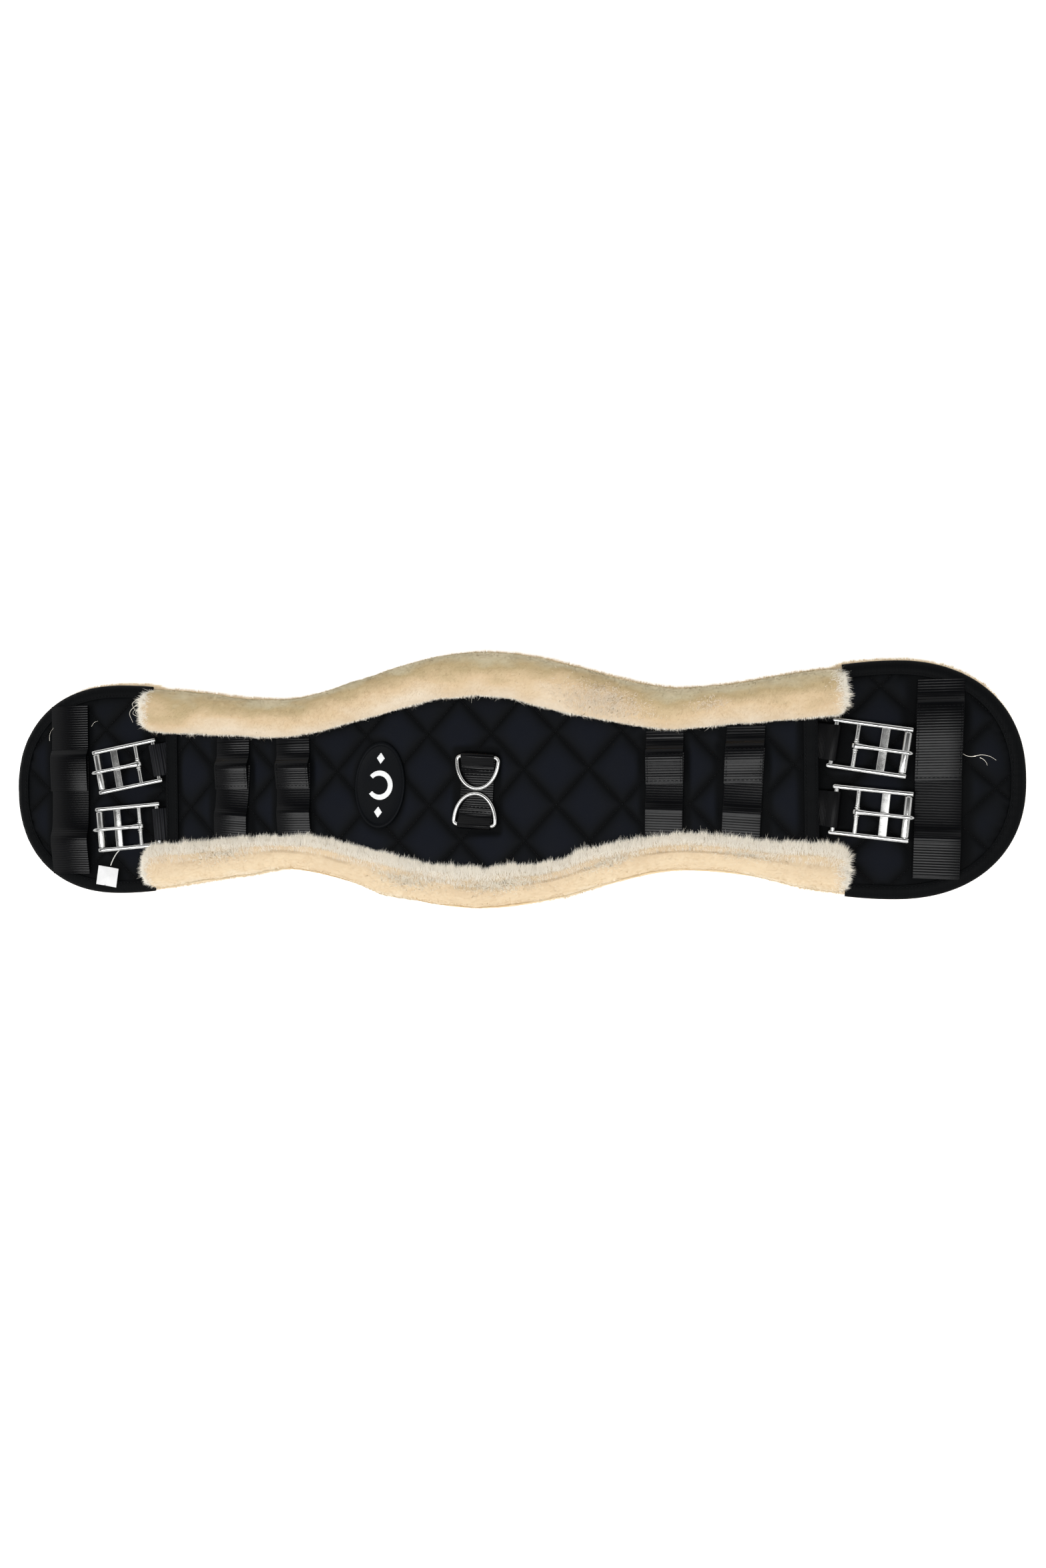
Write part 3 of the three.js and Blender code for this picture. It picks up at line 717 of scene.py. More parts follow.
def inside_panel(points):
    x = np.clip(points[:, 0], 1 - PANEL_HALF_LENGTH, PANEL_HALF_LENGTH - 1)
    limit = inset_half_width(x, PANEL_INSET + 0.3)
    return np.column_stack([x, np.clip(points[:, 1], -limit, limit)])


def make_girth_panel():
    reach = BELLY_HALF_WIDTH - PANEL_INSET + 6
    quilt = Quilt((-PANEL_HALF_LENGTH, PANEL_HALF_LENGTH, -reach, reach), inside_panel, PANEL_CELL, PANEL_PHASE)
    covered = [f"strap_lower_{s}" for s in STRAPS[1:-1]] + [f"strap_upper_{s}" for s in STRAPS[1:-1]]
    boxes = footprint(*covered, "dee_tab", "end_hem_left", "end_hem_right")
    geometry = quilted_geometry(quilt, PANEL_TOP - 0.4, PANEL_BOTTOM, 3.4,
                                 pressed_by(boxes, ovals=footprint("patch")))  # fmt: skip
    panel = add_piece("girth_quilted_panel_cloth", geometry, QUILT, replaces=["girth_quilted_panel"],
                      attributes=rise_above(geometry, PANEL_TOP - 0.4))  # fmt: skip
    seams = [stitches(line) for line in quilt.seams(PANEL_TOP - 0.25)]
    add_piece("girth_quilting_thread", join(*seams), SEWING, sharp=0)


def make_hem(side):
    node = f"end_hem_{side}"
    low, high = box_mm(node)
    x, half = (low[0] + high[0]) / 2, (high[1] - low[1]) / 2
    y = np.linspace(-half - 1.5, half + 1.5, 90)
    z = (low[2] + high[2]) / 2 + 0.25 * rough_line(y, 9, 3)
    band = shifted(swapped(ribbon(np.column_stack([y, z]), HEM_WIDTH, 1.1)), x)
    add_piece(f"{node}_tape", band, BINDING, replaces=[node])
    rows = [stitches(np.column_stack([np.full_like(y, x + offset), y, z + 0.62])[2:-2])
            for offset in (-HEM_WIDTH * 0.36, HEM_WIDTH * 0.36)]  # fmt: skip
    add_piece(f"{node}_stitching", join(*rows), SEWING, sharp=0)


# ---- Liner

COVER_INSET = BINDING_WIDTH - 1.2
COVER_SPLIT = 250  # the cover is quilted beyond this, and plain under the girth


def inside_pad(sign):
    """The region of a pad's quilting: the liner's outline, a little way in, beyond the split."""
    long_axis, short_axis = LINER_HALF_LENGTH - COVER_INSET - END_START, END_HALF_WIDTH - COVER_INSET

    def keep(points):
        x = np.maximum(points[:, 0] * sign, COVER_SPLIT)
        limit = half_width(np.minimum(x, END_START)) - COVER_INSET
        y = np.where(x <= END_START, np.clip(points[:, 1], -limit, limit), points[:, 1])
        past = np.maximum(x - END_START, 0)
        radius = ((past / long_axis) ** END_POWER + (np.abs(y) / short_axis) ** END_POWER) ** (1 / END_POWER)
        scale = np.where((x > END_START) & (radius > 1), 1 / np.maximum(radius, 1e-9), 1)
        return np.column_stack([(np.minimum(x, END_START) + past * scale) * sign, y * scale])

    return keep


def make_cover():
    parts, seams = [], []
    for side, sign in (("left", -1), ("right", 1)):
        ends = sorted((sign * COVER_SPLIT, sign * LINER_HALF_LENGTH))
        quilt = Quilt((*ends, -END_HALF_WIDTH, END_HALF_WIDTH), inside_pad(sign), PAD_CELL, PAD_PHASES[sign])
        boxes = footprint(f"strap_lower_{side}_end", f"strap_upper_{side}_end")
        boxes += footprint(f"buckle_strap_{side}_upper", f"buckle_strap_{side}_lower", margin=3)
        if sign < 0:
            boxes += footprint("swing_tag", margin=0)
        flat = sorted((sign * (COVER_SPLIT - 10), sign * (PANEL_HALF_LENGTH + 2)))
        boxes.append((*flat, -END_HALF_WIDTH, END_HALF_WIDTH))
        parts.append(quilted_geometry(quilt, COVER_TOP - 0.4, COVER_BOTTOM, 3.2, pressed_by(boxes, 8)))
        seams += [stitches(line) for line in quilt.seams(COVER_TOP - 0.25)]
    x = np.linspace(-COVER_SPLIT - 1, COVER_SPLIT + 1, 121)
    limit = half_width(x) - COVER_INSET
    rows = [[(u, -v, COVER_BOTTOM), (u, v, COVER_BOTTOM), (u, v, COVER_TOP - 0.3), (u, -v, COVER_TOP - 0.3)]
            for u, v in zip(x, limit)]  # fmt: skip
    geometry = join(*parts, loft(rows))
    cover = add_piece("liner_quilted_cover_cloth", geometry, QUILT, replaces=["liner_quilted_cover"],
                      attributes=rise_above(geometry, COVER_TOP - 0.4))  # fmt: skip
    add_piece("liner_quilting_thread", join(*seams), SEWING, sharp=0)


BINDING_STEP = 0.9
BINDING_SECTION = (
    (BINDING_WIDTH + 0.6, COVER_TOP - 0.5), (BINDING_WIDTH + 0.2, COVER_TOP + 0.5),
    (BINDING_WIDTH - 1.4, COVER_TOP + 1.0), (BINDING_WIDTH - 3.2, COVER_TOP + 1.5),
    (BINDING_WIDTH - 5.2, COVER_TOP + 1.5), (BINDING_WIDTH - 7.2, COVER_TOP + 0.9),
    (-0.6, COVER_TOP - 0.4), (-1.5, COVER_TOP - 2.0), (-1.5, BINDING_BOTTOM + 1.4),
    (-0.7, BINDING_BOTTOM + 0.3), (3.0, BINDING_BOTTOM), (BINDING_WIDTH - 0.3, BINDING_BOTTOM),
)  # fmt: skip


def make_binding(side, sign):
    edge, normals = stretch_of_edge(sign * EDGE[:, 0] > ROLL_HALF_LENGTH - 3, BINDING_STEP)
    rows = rows_along_edge(edge, normals, BINDING_SECTION)
    run = np.arange(len(edge)) * BINDING_STEP
    pucker = 0.28 * rough_line(run, 3.6, 5 + sign) + 0.35 * rough_line(run, 17, 9 + sign)
    rows[:, 1:7, 2] += pucker[:, None]
    node = f"edge_binding_{side}"
    add_piece(f"{node}_tape", loft(rows), BINDING, replaces=[node])
    add_piece(f"{node}_stitching", stitches(rows[:, 2] + (0, 0, 0.1)), SEWING, sharp=0)


LINING_SECTION = (
    (10.0, FLEECE_TOP), (3.5, FLEECE_TOP), (0.2, FLEECE_TOP - 0.2), (-1.6, FLEECE_TOP - 1.4),
    (-FLEECE_OVERHANG, FLEECE_TOP - 3.6), (-FLEECE_OVERHANG - 0.3, 5.2), (-FLEECE_OVERHANG, 3.2),
    (-1.2, 1.3), (0.8, 0.3), (4.0, 0.05), (10.0, 0.0),
)  # fmt: skip
UNDERSIDE_ROWS = 22


def lining_rows():
    """The lining's skin as rows across it, and the rows of its outer side alone."""
    rows = rows_along_edge(EDGE, EDGE_NORMALS, LINING_SECTION)
    outer = rows[:, 2:9]
    # the lining shows past the upper edge of each pad, and is tucked in everywhere else
    shown = smoothstep(EDGE[:, 1], 30, 70) * smoothstep(np.abs(EDGE[:, 0]), ROLL_HALF_LENGTH - 12, ROLL_HALF_LENGTH)
    outer[:, :, :2] -= EDGE_NORMALS[:, None, :] * (2.4 - 3.0 * shown)[:, None, None]
    along = np.abs(EDGE[:, 0]) < ROLL_HALF_LENGTH
    shift = np.where(EDGE[:, 1] > 0, settled(EDGE[:, 0], 1), -settled(EDGE[:, 0], -1))
    outer[:, :, 1] += np.where(along, shift, 0)[:, None]
    tuft = rough(outer.reshape(-1, 3), 4.5, 2).reshape(outer.shape[:2])
    outer[:, :, :2] += EDGE_NORMALS[:, None, :] * 0.7 * tuft[:, :, None]
    middle = np.column_stack([np.clip(EDGE[:, 0], -END_START, END_START) * 0.98, np.zeros(len(EDGE))])

    def drawn_in(place, share):
        """A row of the section drawn in towards the middle line."""
        return rows[:, place, :2] * (1 - share) + middle * share

    underside = []
    for share in np.linspace(1, 0, UNDERSIDE_ROWS, endpoint=False)[::-1]:
        flat = drawn_in(-1, share)
        tufts = 0.8 + 0.8 * rough(np.column_stack([flat, flat[:, 0] * 0]), 7, 8)
        underside.append(np.column_stack([flat, tufts])[:, None])
    top = [np.column_stack([drawn_in(0, share), np.full(len(EDGE), FLEECE_TOP)])[:, None] for share in (1.0, 0.5)]
    return np.concatenate([*top, rows, *underside], 1), rows


def merged(geometry, distance=0.01):
    """A geometry with its coincident points made one."""
    shape = editable(*geometry)
    bmesh.ops.remove_doubles(shape, verts=shape.verts, dist=distance)
    bmesh.ops.dissolve_degenerate(shape, edges=shape.edges, dist=distance / 10)
    return settled_shape(shape)


def open_skin(rows):
    """Faces of rows that close along the path but not round the section."""
    count, across = rows.shape[:2]
    faces = []
    for i in range(count):
        a, b = i * across, ((i + 1) % count) * across
        faces += [(a + j, a + j + 1, b + j + 1, b + j) for j in range(across - 1)]
    return rows.reshape(-1, 3), faces


def make_lining():
    rows, side = lining_rows()
    skin = merged(open_skin(rows))
    values = {"across": np.full(len(skin[0]), 0.4), "tone": np.full(len(skin[0]), 0.6)}
    lining = add_piece("fleece_lining_pile", skin, FLEECE_LOWER, ROOT, ["fleece_lining"], attributes=values)
    blades = Blades(side[:, 9:0:-1], closed=True)
    blades.grow(36000, (1.6, 3.2), 0.45, 0.28, 0.4, lay=(0, 0, -0.4), across=(0.2, 0.6))
    blades.make("fleece_lining_fibres", FLEECE_LOWER)


# ---- Pile: thin curved blades that stand on a surface

ROW_STEP = 1.6  # between the rows of a roll's surface


class Blades:
    """Fibres on a surface given as rows of points. They are lit mostly like the surface that they stand on."""

    def __init__(self, rows, closed=False):
        self.rows = np.asarray(rows)
        self.closed = closed
        self.vertices, self.normals, self.tones, self.across = [], [], [], []

    def sample(self, count, u_range=(0, 1), v_range=(0, 1), scattered=False):
        """Random places on the surface: points, normals, directions along and around it, and how far round.
        Scattered places gather about a middle, and the ranges then give a middle and a spread."""
        n, m = self.rows.shape[:2]
        draw = rng.normal if scattered else rng.uniform
        u = np.clip(draw(*u_range, count), 0, 1) * (n if self.closed else n - 1.001)
        v = np.clip(draw(*v_range, count), 0, 1) * (m - 1.001)
        i, j = u.astype(int) % n, v.astype(int)
        i2 = (i + 1) % n
        fu, fv = (u % 1)[:, None], (v % 1)[:, None]
        a, b, c, d = (self.rows[p, q] for p, q in ((i, j), (i2, j), (i2, j + 1), (i, j + 1)))
        point = (a * (1 - fu) + b * fu) * (1 - fv) + (d * (1 - fu) + c * fu) * fv
        along = (b - a) * (1 - fv) + (c - d) * fv
        around = (d - a) * (1 - fu) + (c - b) * fu
        return point, unit(np.cross(along, around)), unit(along), unit(around), v / (m - 1), u

    def grow(self, count, length, lift, width, jitter, lay=(0, 0, 0), u_range=(0, 1), v_range=(0, 1), droop=0.25,
             around=0.0, along=0.0, across=(0, 1), clump=5.0, spread=0.35, tuft=0.0, gather=0.65,
             scattered=False, uneven=0.0, lift_light=0.0):  # fmt: skip
        """Adds fibres. lift is along the normal, lay is a direction in space, and around and along follow the surface.
        With a tuft width, the tips gather into locks of uneven length and lean. Uneven fibres grow longer in some
        places than in others, and lift_light turns their shading upwards."""
        point, normal, run, turn, share, row = self.sample(count, u_range, v_range, scattered)
        tufts = np.stack([rough(point, clump, k + 20) for k in range(3)], 1) * 1.1
        away = normal * lift + np.array(lay, float) + turn * around + run * along
        away = unit(away + tufts * jitter + rng.normal(0, jitter * spread, (count, 3)))
        size = rng.uniform(*length, count)[:, None]
        if uneven:
            size *= np.clip(1 + uneven * (rough(point, 4.0, 41) + 0.8 * rough(point, 13.0, 42)), 0.3, 2.2)[:, None]
        side = unit(np.cross(away, normal + rng.normal(0, 0.25, (count, 3)))) * width / 2
        root = point - normal * 0.3
        middle = point + away * size * 0.5
        bend = away + np.array((0, 0, -droop)) + rng.normal(0, 0.12, (count, 3))
        tip = middle + unit(bend) * size * 0.5
        if tuft:
            place = row * ROW_STEP / tuft + 0.3 * np.sin(share * 40)
            lock = np.floor(place).astype(int)
            pull = ((lock + 0.5 - place) * tuft * gather)[:, None]
            longer = 0.75 + 0.5 * rng.random(lock.max() + 1)[lock][:, None]
            lean = rng.normal(0, 0.3, lock.max() + 1)[lock][:, None]
            middle = point + (middle - point) * longer + run * (pull * 0.4 + lean * size * 0.35)
            tip = point + (tip - point) * longer + run * (pull + lean * size)
        blade = np.stack([root - side, root + side, middle + side * 0.85, middle - side * 0.85, tip], 1)
        blade[:, :, 2] = np.maximum(blade[:, :, 2], 0.1)  # fibres lie on whatever the girth lies on
        lit = normal * 0.9 + np.cross(side, away) / width * 0.7 + (0, 0, lift_light)
        lit = unit(lit + rng.normal(0, 0.1, (count, 3)))
        self.vertices.append(blade.reshape(-1, 3))
        self.normals.append(np.repeat(lit, 5, 0))
        # a random tone for each fibre, darker towards its root as painted shade
        self.tones.append(np.repeat(rng.uniform(0.65, 1, count)[:, None], 5, 1) * (0.6, 0.6, 0.95, 0.95, 1.0))
        self.across.append(np.repeat(across[0] + (across[1] - across[0]) * share, 5))

    def take(self, other):
        """Adds the fibres of another surface to these."""
        self.vertices += other.vertices
        self.normals += other.normals
        self.tones += other.tones
        self.across += other.across

    def make(self, name, material):
        vertices = np.concatenate(self.vertices)
        start = np.arange(len(vertices) // 5)[:, None] * 5
        faces = (start + np.array([0, 1, 2, 3])).tolist() + (start + np.array([3, 2, 4])).tolist()
        values = {"tone": np.concatenate(self.tones).ravel(), "across": np.concatenate(self.across)}
        piece = add_piece(name, (vertices, faces), material, sharp=0, attributes=values)
        piece.data.normals_split_custom_set_from_vertices(np.concatenate(self.normals).tolist())
        return piece


def unit(vectors):
    return vectors / np.maximum(np.linalg.norm(vectors, axis=1), 1e-9)[:, None]


# ---- Rolls

LIP_Z = PANEL_TOP + 2.0
ROLL_SECTION = (
    (28.8, LIP_Z - 0.6), (28.8, COVER_TOP + 0.6), (20.0, COVER_TOP + 0.5), (9.6, COVER_TOP + 0.5),
    (9.4, ROLL_BOTTOM + 0.1), (4.4, ROLL_BOTTOM + 0.1), (2.0, ROLL_BOTTOM + 0.8), (1.2, ROLL_BOTTOM + 4.0),
    (1.3, ROLL_BOTTOM + 8.5), (2.4, ROLL_TOP - 9.0), (4.8, ROLL_TOP - 5.2), (8.6, ROLL_TOP - 2.4),
    (12.8, ROLL_TOP - 0.8), (17.0, ROLL_TOP - 0.2), (21.4, ROLL_TOP - 0.5), (25.4, ROLL_TOP - 1.4),
    (29.0, ROLL_TOP - 2.9), (31.6, ROLL_TOP - 4.6), (33.0, LIP_Z + 0.4), (32.6, LIP_Z - 0.8), (30.5, LIP_Z - 0.7),
)  # fmt: skip
ROLL_VISIBLE = (6, 19)  # the section's points that carry pile
ROLL_LIP_START = 26.0
ROLL_PIVOT = 12.0  # the part of the section inside this follows the roll's changing width
RUFFLES = {
    1: ((0.31, 0.62, 0.03, 0.09, 2500), (0.3, 0.5, 0.02, 0.07, 700), (0.17, 0.5, 0.012, 0.05, 240)),
    -1: ((0.4, 0.56, 0.024, 0.07, 1000), (0.55, 0.6, 0.032, 0.07, 1400), (0.7, 0.55, 0.018, 0.06, 450),
         (0.13, 0.6, 0.02, 0.07, 450), (0.87, 0.6, 0.02, 0.07, 450)),
}  # fmt: skip


def hump(x, middle, width):
    """1 at the middle, falling away on both sides."""
    return np.exp(-(((x - middle) / width) ** 2))


def settled(x, sign):
    """How far outwards each long edge has settled from its drawn line: out above, in below."""
    if sign > 0:
        return smoothstep(ROLL_HALF_LENGTH - np.abs(x), 0, 45) * (1.8 + 2.8 * hump(x, 25, 90))
    inwards = smoothstep(x, -205, -165) * (1 - smoothstep(x, 215, 270))
    return -4.4 * inwards + 3.0 * hump(x, -78, 22) + 1.6 * hump(x, 75, 22)


def roll_rows(sign):
    """A roll's skin as rows of its section, settled, swollen and drawn in at its ends."""
    on_side = (np.abs(EDGE[:, 0]) < ROLL_HALF_LENGTH) & (sign * EDGE[:, 1] > 0)
    edge, normals = stretch_of_edge(on_side, ROW_STEP)
    rows = rows_along_edge(edge, normals, ROLL_SECTION)
    section = np.array(ROLL_SECTION)
    inset, x = section[:, 0], edge[:, 0]
    from_middle = np.abs(x)

    # The rolls are narrowest at the waist and widest at their ends. Only the lip moves, and it never bares the panel.
    wider = 1.5 * (1 - smoothstep(from_middle, 60, 130)) + 6.5 * smoothstep(from_middle, 200, ROLL_HALF_LENGTH) - 0.8
    if sign > 0:
        wider += 3.0 * hump(x, 90, 42) - 1.2
    else:
        wider += 4.2 * smoothstep(x, -175, -135) * (1 - smoothstep(x, 20, 75)) - 2.6
        wider += 2.5 * hump(x, 108, 18)
    wider = np.maximum(wider + 0.8 * rough_line(x, 24, 31 + sign), -2.4)
    lip = np.clip((inset - ROLL_PIVOT) / 20, 0, 1) * (np.arange(len(section)) >= 12)
    rows[:, :, :2] -= normals[:, None, :] * (wider[:, None] * lip)[:, :, None]
    outer = np.clip((ROLL_LIP_START - inset) / 16, 0, 1)
    rows[:, :, 1] += sign * settled(x, sign)[:, None] * outer

    places = rows.reshape(-1, 3)
    large, small = (0.9, 0.5) if sign > 0 else (1.1, 0.9)
    swell = large * rough(places, 26, 3 + sign) + small * rough(places, 8, 5 + sign, (0.45, 1, 1))
    swell = swell.reshape(rows.shape[:2])
    if sign < 0:  # a wavy crease runs along the lower roll where its pile parts
        wave = 22.5 + 3.6 * rough(np.column_stack([edge, x * 0]), 38, 11)
        swell -= 2.0 * hump(inset, wave[:, None], 2.0)
    swell[:, : ROLL_VISIBLE[0]] = swell[:, ROLL_VISIBLE[1] :] = 0
    outward = section - (16.0, ROLL_TOP - 10)
    outward /= np.linalg.norm(outward, axis=1)[:, None]
    rows[:, :, :2] -= normals[:, None, :] * (swell * outward[:, 0])[:, :, None]
    rows[:, :, 2] += swell * outward[:, 1]
    from_end = np.minimum(np.arange(len(rows)), np.arange(len(rows))[::-1]) * ROW_STEP
    centre = rows[:, slice(*ROLL_VISIBLE)].mean(1, keepdims=True)
    return centre + (rows - centre) * (1 - 0.3 * np.exp(-from_end / 3.0))[:, None, None]


def make_roll(side, sign):
    node = f"fleece_roll_{side}"
    look = FLEECE_UPPER if sign > 0 else FLEECE_LOWER
    rows = roll_rows(sign)
    first, last = ROLL_VISIBLE
    shares = np.clip((np.arange(len(ROLL_SECTION)) - first) / (last - first), 0, 1)
    values = {"across": np.tile(shares, len(rows)), "tone": np.full(rows.size // 3, 0.55)}
    roll = add_piece(f"{node}_body", loft(rows), look, replaces=[node], attributes=values)

    carried = rows[:, first : last + 1]
    pile = Blades(carried)
    pile.grow(50000, (1.4, 2.6), 0.22, 0.25, 0.13, around=0.6, along=0.4, spread=0.3, clump=9.0)
    pile.grow(5000, (1.4, 2.6), 0.5, 0.22, 0.4, around=0.4, along=0.4)
    pale = 1.1 if sign > 0 else -0.3
    for u, v, u_wide, v_wide, many in RUFFLES[sign]:
        pile.grow(many, (1.8, 3.6), 0.34, 0.42, 0.5, around=0.3, u_range=(u, u_wide), v_range=(v, v_wide), clump=3.5,
                  spread=0.4, scattered=True, across=(pale, pale), lift_light=1.2)  # fmt: skip
    pile.make(f"{node}_pile", look)

    fringe = Blades(carried)
    inward = (0.1, -sign, -0.15)
    if sign > 0:
        short = {"lay": inward, "uneven": 0.5, "lift_light": 0.8}
        fringe.grow(9000, (1.2, 2.8), 0.2, 0.22, 0.4, v_range=(0.9, 1.0), droop=0.5, **short)
        fringe.grow(600, (2.5, 5), 0.2, 0.22, 0.6, v_range=(0.92, 1.0), tuft=11.0, gather=0.9, **short)
    else:
        strands = (((3.5, 6.5), 11.0, 0.55, 22000), ((2.5, 5), 5.0, 0.7, 14000), ((5, 9), 16.0, 0.75, 4500))
        for length, clump, jitter, many in strands:
            fringe.grow(many, length, 0.4, 0.2, jitter, inward, v_range=(0.7, 0.99), droop=0.5, clump=clump,
                        spread=0.3, uneven=0.45, lift_light=1.2)  # fmt: skip
        fringe.grow(5000, (2.5, 5), 0.5, 0.2, 0.6, inward, v_range=(0.58, 0.74), clump=7.0, uneven=0.6, lift_light=1.0)
    for middle, out in ((0, -1), (1, 1)):
        for length, wide, many in (((1.2, 3.2), 0.007, 3200), ((3, 7), 0.004, 420)):
            fringe.grow(many, length, 0.3, 0.22, 0.8, (-sign * out, 0, -0.1), (middle, wide), (0.55, 0.26), droop=0.2,
                        scattered=True, uneven=0.5, lift_light=0.8)  # fmt: skip
        ring = np.vstack([rows[-middle], rows[-middle][:1]])
        heart = carried[-middle].mean(0)
        face = Blades(heart + (ring - heart) * np.linspace(1.0, 0.02, 6)[::out, None, None])
        face.grow(2600, (1.0, 2.8), 0.6, 0.26, 0.8, (0, 0, -0.1), uneven=0.4, lift_light=0.5)
        fringe.take(face)
    fringe.make(f"{node}_fringe", FRINGE)


# ---- Hook and loop straps

STRAP_STEP = 0.42
STRAP_RIB_PITCH = 2.1
STRAP_RIB_HEIGHT = 0.1
STRAP_SKEWS = dict(zip(STRAPS, (0.0, 0.03, 0.0, 0.02, 0.07, 0.045)))  # how far an upper strap leans, along X per Y


def leaned(geometry, skew):
    """An upper strap's shape leaning sideways from its free end."""
    vertices, faces = geometry
    return np.column_stack([vertices[:, 0] + skew * (vertices[:, 1] - 8), vertices[:, 1:]]), faces


def make_upper_strap(name):
    node, tape_node, body = f"strap_upper_{name}", f"hook_tape_{name}", f"peel_{name}"
    low, high = box_mm(node)
    tape_low, tape_high = box_mm(tape_node)
    lower_end = box_mm(f"strap_lower_{name}")[1][1]
    x, width, end = (low[0] + high[0]) / 2, high[0] - low[0], low[1]
    ground, top = low[2] + 0.65, high[2] - 0.65
    at_end = name.endswith("end")
    arch = 0.9 if name == "left_end" else 2.4  # the left buckles slide out over that strap
    shine = 40 if name == "right_end" else 19  # how far from its free end the strap starts to slope
    start = (high[1], ground) if at_end else (high[1] - 0.3, ground + 0.2)
    path = spline([start, (lower_end + 9, ground + 0.1), (lower_end + 4.4, ground + 1.2),
                   (lower_end - 0.5, top + arch * 0.8), (min(end + shine, lower_end - 5), top + arch),
                   (end + shine * 0.55, top + arch * 0.52), (end + 5, top + arch * 0.06), (end, top - 0.5)],
                  STRAP_STEP)  # fmt: skip

    def stood(strip):
        """A strip in the strap's place, leaning as the strap does."""
        return leaned(shifted(swapped(strip), x), STRAP_SKEWS[name])

    def height(y):
        return np.interp(y, path[::-1, 0], path[::-1, 1])

    strip = stood(ribbon(path, width, 1.25, STRAP_RIB_PITCH, STRAP_RIB_HEIGHT))
    add_piece(f"{node}_webbing", strip, WEBBING_ALONG_Y, body, [node])
    if not at_end:  # the sewn-down end runs on under the roll's lip
        stub = ribbon([(high[1] + 0.1 + 0.5 * k, ground + 0.1) for k in range(10)], width, 1.1)
        add_piece(f"{node}_root", stood(stub), WEBBING_ALONG_Y)

    y = np.arange(tape_low[1], tape_high[1], 0.9)
    thick = tape_high[2] - tape_low[2]
    tape = ribbon(np.column_stack([y, height(y) - 0.65 - thick / 2]), width - 4, thick - 0.1, 1.8, 0.25)
    add_piece(f"{tape_node}_hooks", stood(tape), HOOK_TAPE, body, [tape_node])

    seam = 0.45 if name == "left_end" else 0.7  # pulled into the webbing where the buckles pass over it
    first, last = end + 2.4, tape_high[1] + 0.8
    across = np.linspace(x - width / 2 + 1.5, x + width / 2 - 1.5, 20)
    lines = [(across, np.full(20, y)) for y in (first, last)]
    lines += [(np.full(30, x + side * (width / 2 - 1.8)), np.linspace(first, last, 30)) for side in (-1, 1)]
    rows = [stitches(np.column_stack([u, v, height(v) + seam]), width=0.5) for u, v in lines]
    add_piece(f"{node}_stitching", leaned(join(*rows), STRAP_SKEWS[name]), SEWING, body, sharp=0)


def make_lower_strap(name):
    """A lower strap, laid along the slanting CAD strap, rising near its foot and sloping down again."""
    node = f"strap_lower_{name}"
    corners = np.array([v.co for v in frame["nodes"][node].data.vertices]) / MM
    flat = np.unique(corners[corners[:, 2] > corners[:, 2].max() - 0.1][:, :2].round(2), axis=0)
    upper, lower = (flat[np.argsort(way * flat[:, 1])[:2]] for way in (-1, 1))
    head = upper.mean(0)
    run = lower.mean(0) - head
    length, width = np.linalg.norm(run), np.linalg.norm(upper[0] - upper[1])
    ground = box_mm(node)[0][2] + 0.6
    if name.endswith("end"):
        rises = ((42, 1.2), (31, 4.2), (16, 2.3), (4, 0.3), (0, 0))
    else:
        rises = ((22, 0.8), (15, 2.5), (5, 1.2), (-4, 0), (-6, -0.1))
    points = [(0, ground), (length * 0.4, ground)] + [(length - back, ground + rise) for back, rise in rises]
    strip = swapped(ribbon(spline(points, STRAP_STEP), width, 1.15, STRAP_RIB_PITCH, STRAP_RIB_HEIGHT))
    turn = Matrix.Rotation(math.atan2(run[0], -run[1]) + math.pi, 4, "Z")
    place = Matrix.Translation((head[0] * MM, head[1] * MM, 0)) @ turn
    add_piece(f"{node}_webbing", strip, WEBBING_ALONG_Y, ROOT, [node], place=place)


# ---- Buckles

JOINTS = {joint["name"]: joint for joint in frame["joints"]}
BUCKLE_WIDTH = 39.6
SIDE_BAR_WIDTH = 4.0
SIDE_BAR_HEIGHT = 4.2
BASE_BAR_RADIUS = 2.0
PIVOT_X = 16.8
PIVOT_RADIUS = 1.9
GUARD_X = 37.4
ROLLER_X = 53.8
ROLLER_RADIUS = 3.25
ROLLER_BORE = 2.1
TONGUE_EYE_RADIUS = 3.05  # to the middle of its wall


def buckle_place(name):
    """A buckle's own frame: the origin on its base bar, X out along it, Y along the bar."""
    fold = JOINTS[f"buckle_fold_{name}"]
    origin = Vector(fold["pos_m"])
    x_axis = (Vector(JOINTS[f"roller_spin_{name}"]["pos_m"]) - origin).normalized()
    y_axis = -Vector(fold["axis"]).normalized()
    return Matrix.Translation(origin) @ Matrix((x_axis, y_axis, x_axis.cross(y_axis))).transposed().to_4x4()


def cross_bar(x, radius, half):
    return tube([(x, y, 0) for y in np.linspace(-half, half, 8)], radius, 24)


def side_bar(sign):
    y = sign * (BUCKLE_WIDTH - SIDE_BAR_WIDTH) / 2
    x = np.array([-3.0, -2.8, -2.3, -1.4, 0, 3, 10, 20, 30, 40, 50, 54, 56.2, 57.0, 57.3])
    size = np.array([0.5, 0.78, 0.93, 1, 1, 0.98, 0.96, 0.96, 0.96, 0.96, 0.97, 1, 0.97, 0.84, 0.6])
    section = rounded(SIDE_BAR_WIDTH, SIDE_BAR_HEIGHT, 1.45, 4)
    return loft([[(u, y + s * k, s2 * k) for s, s2 in section] for u, k in zip(x, size)])


def flat_bar(x, width, height, half):
    section = rounded(width, height, 0.7, 4)
    return loft([[(x + s, half * share, s2) for s, s2 in section] for share in (-1, -0.5, 0.5, 1)])


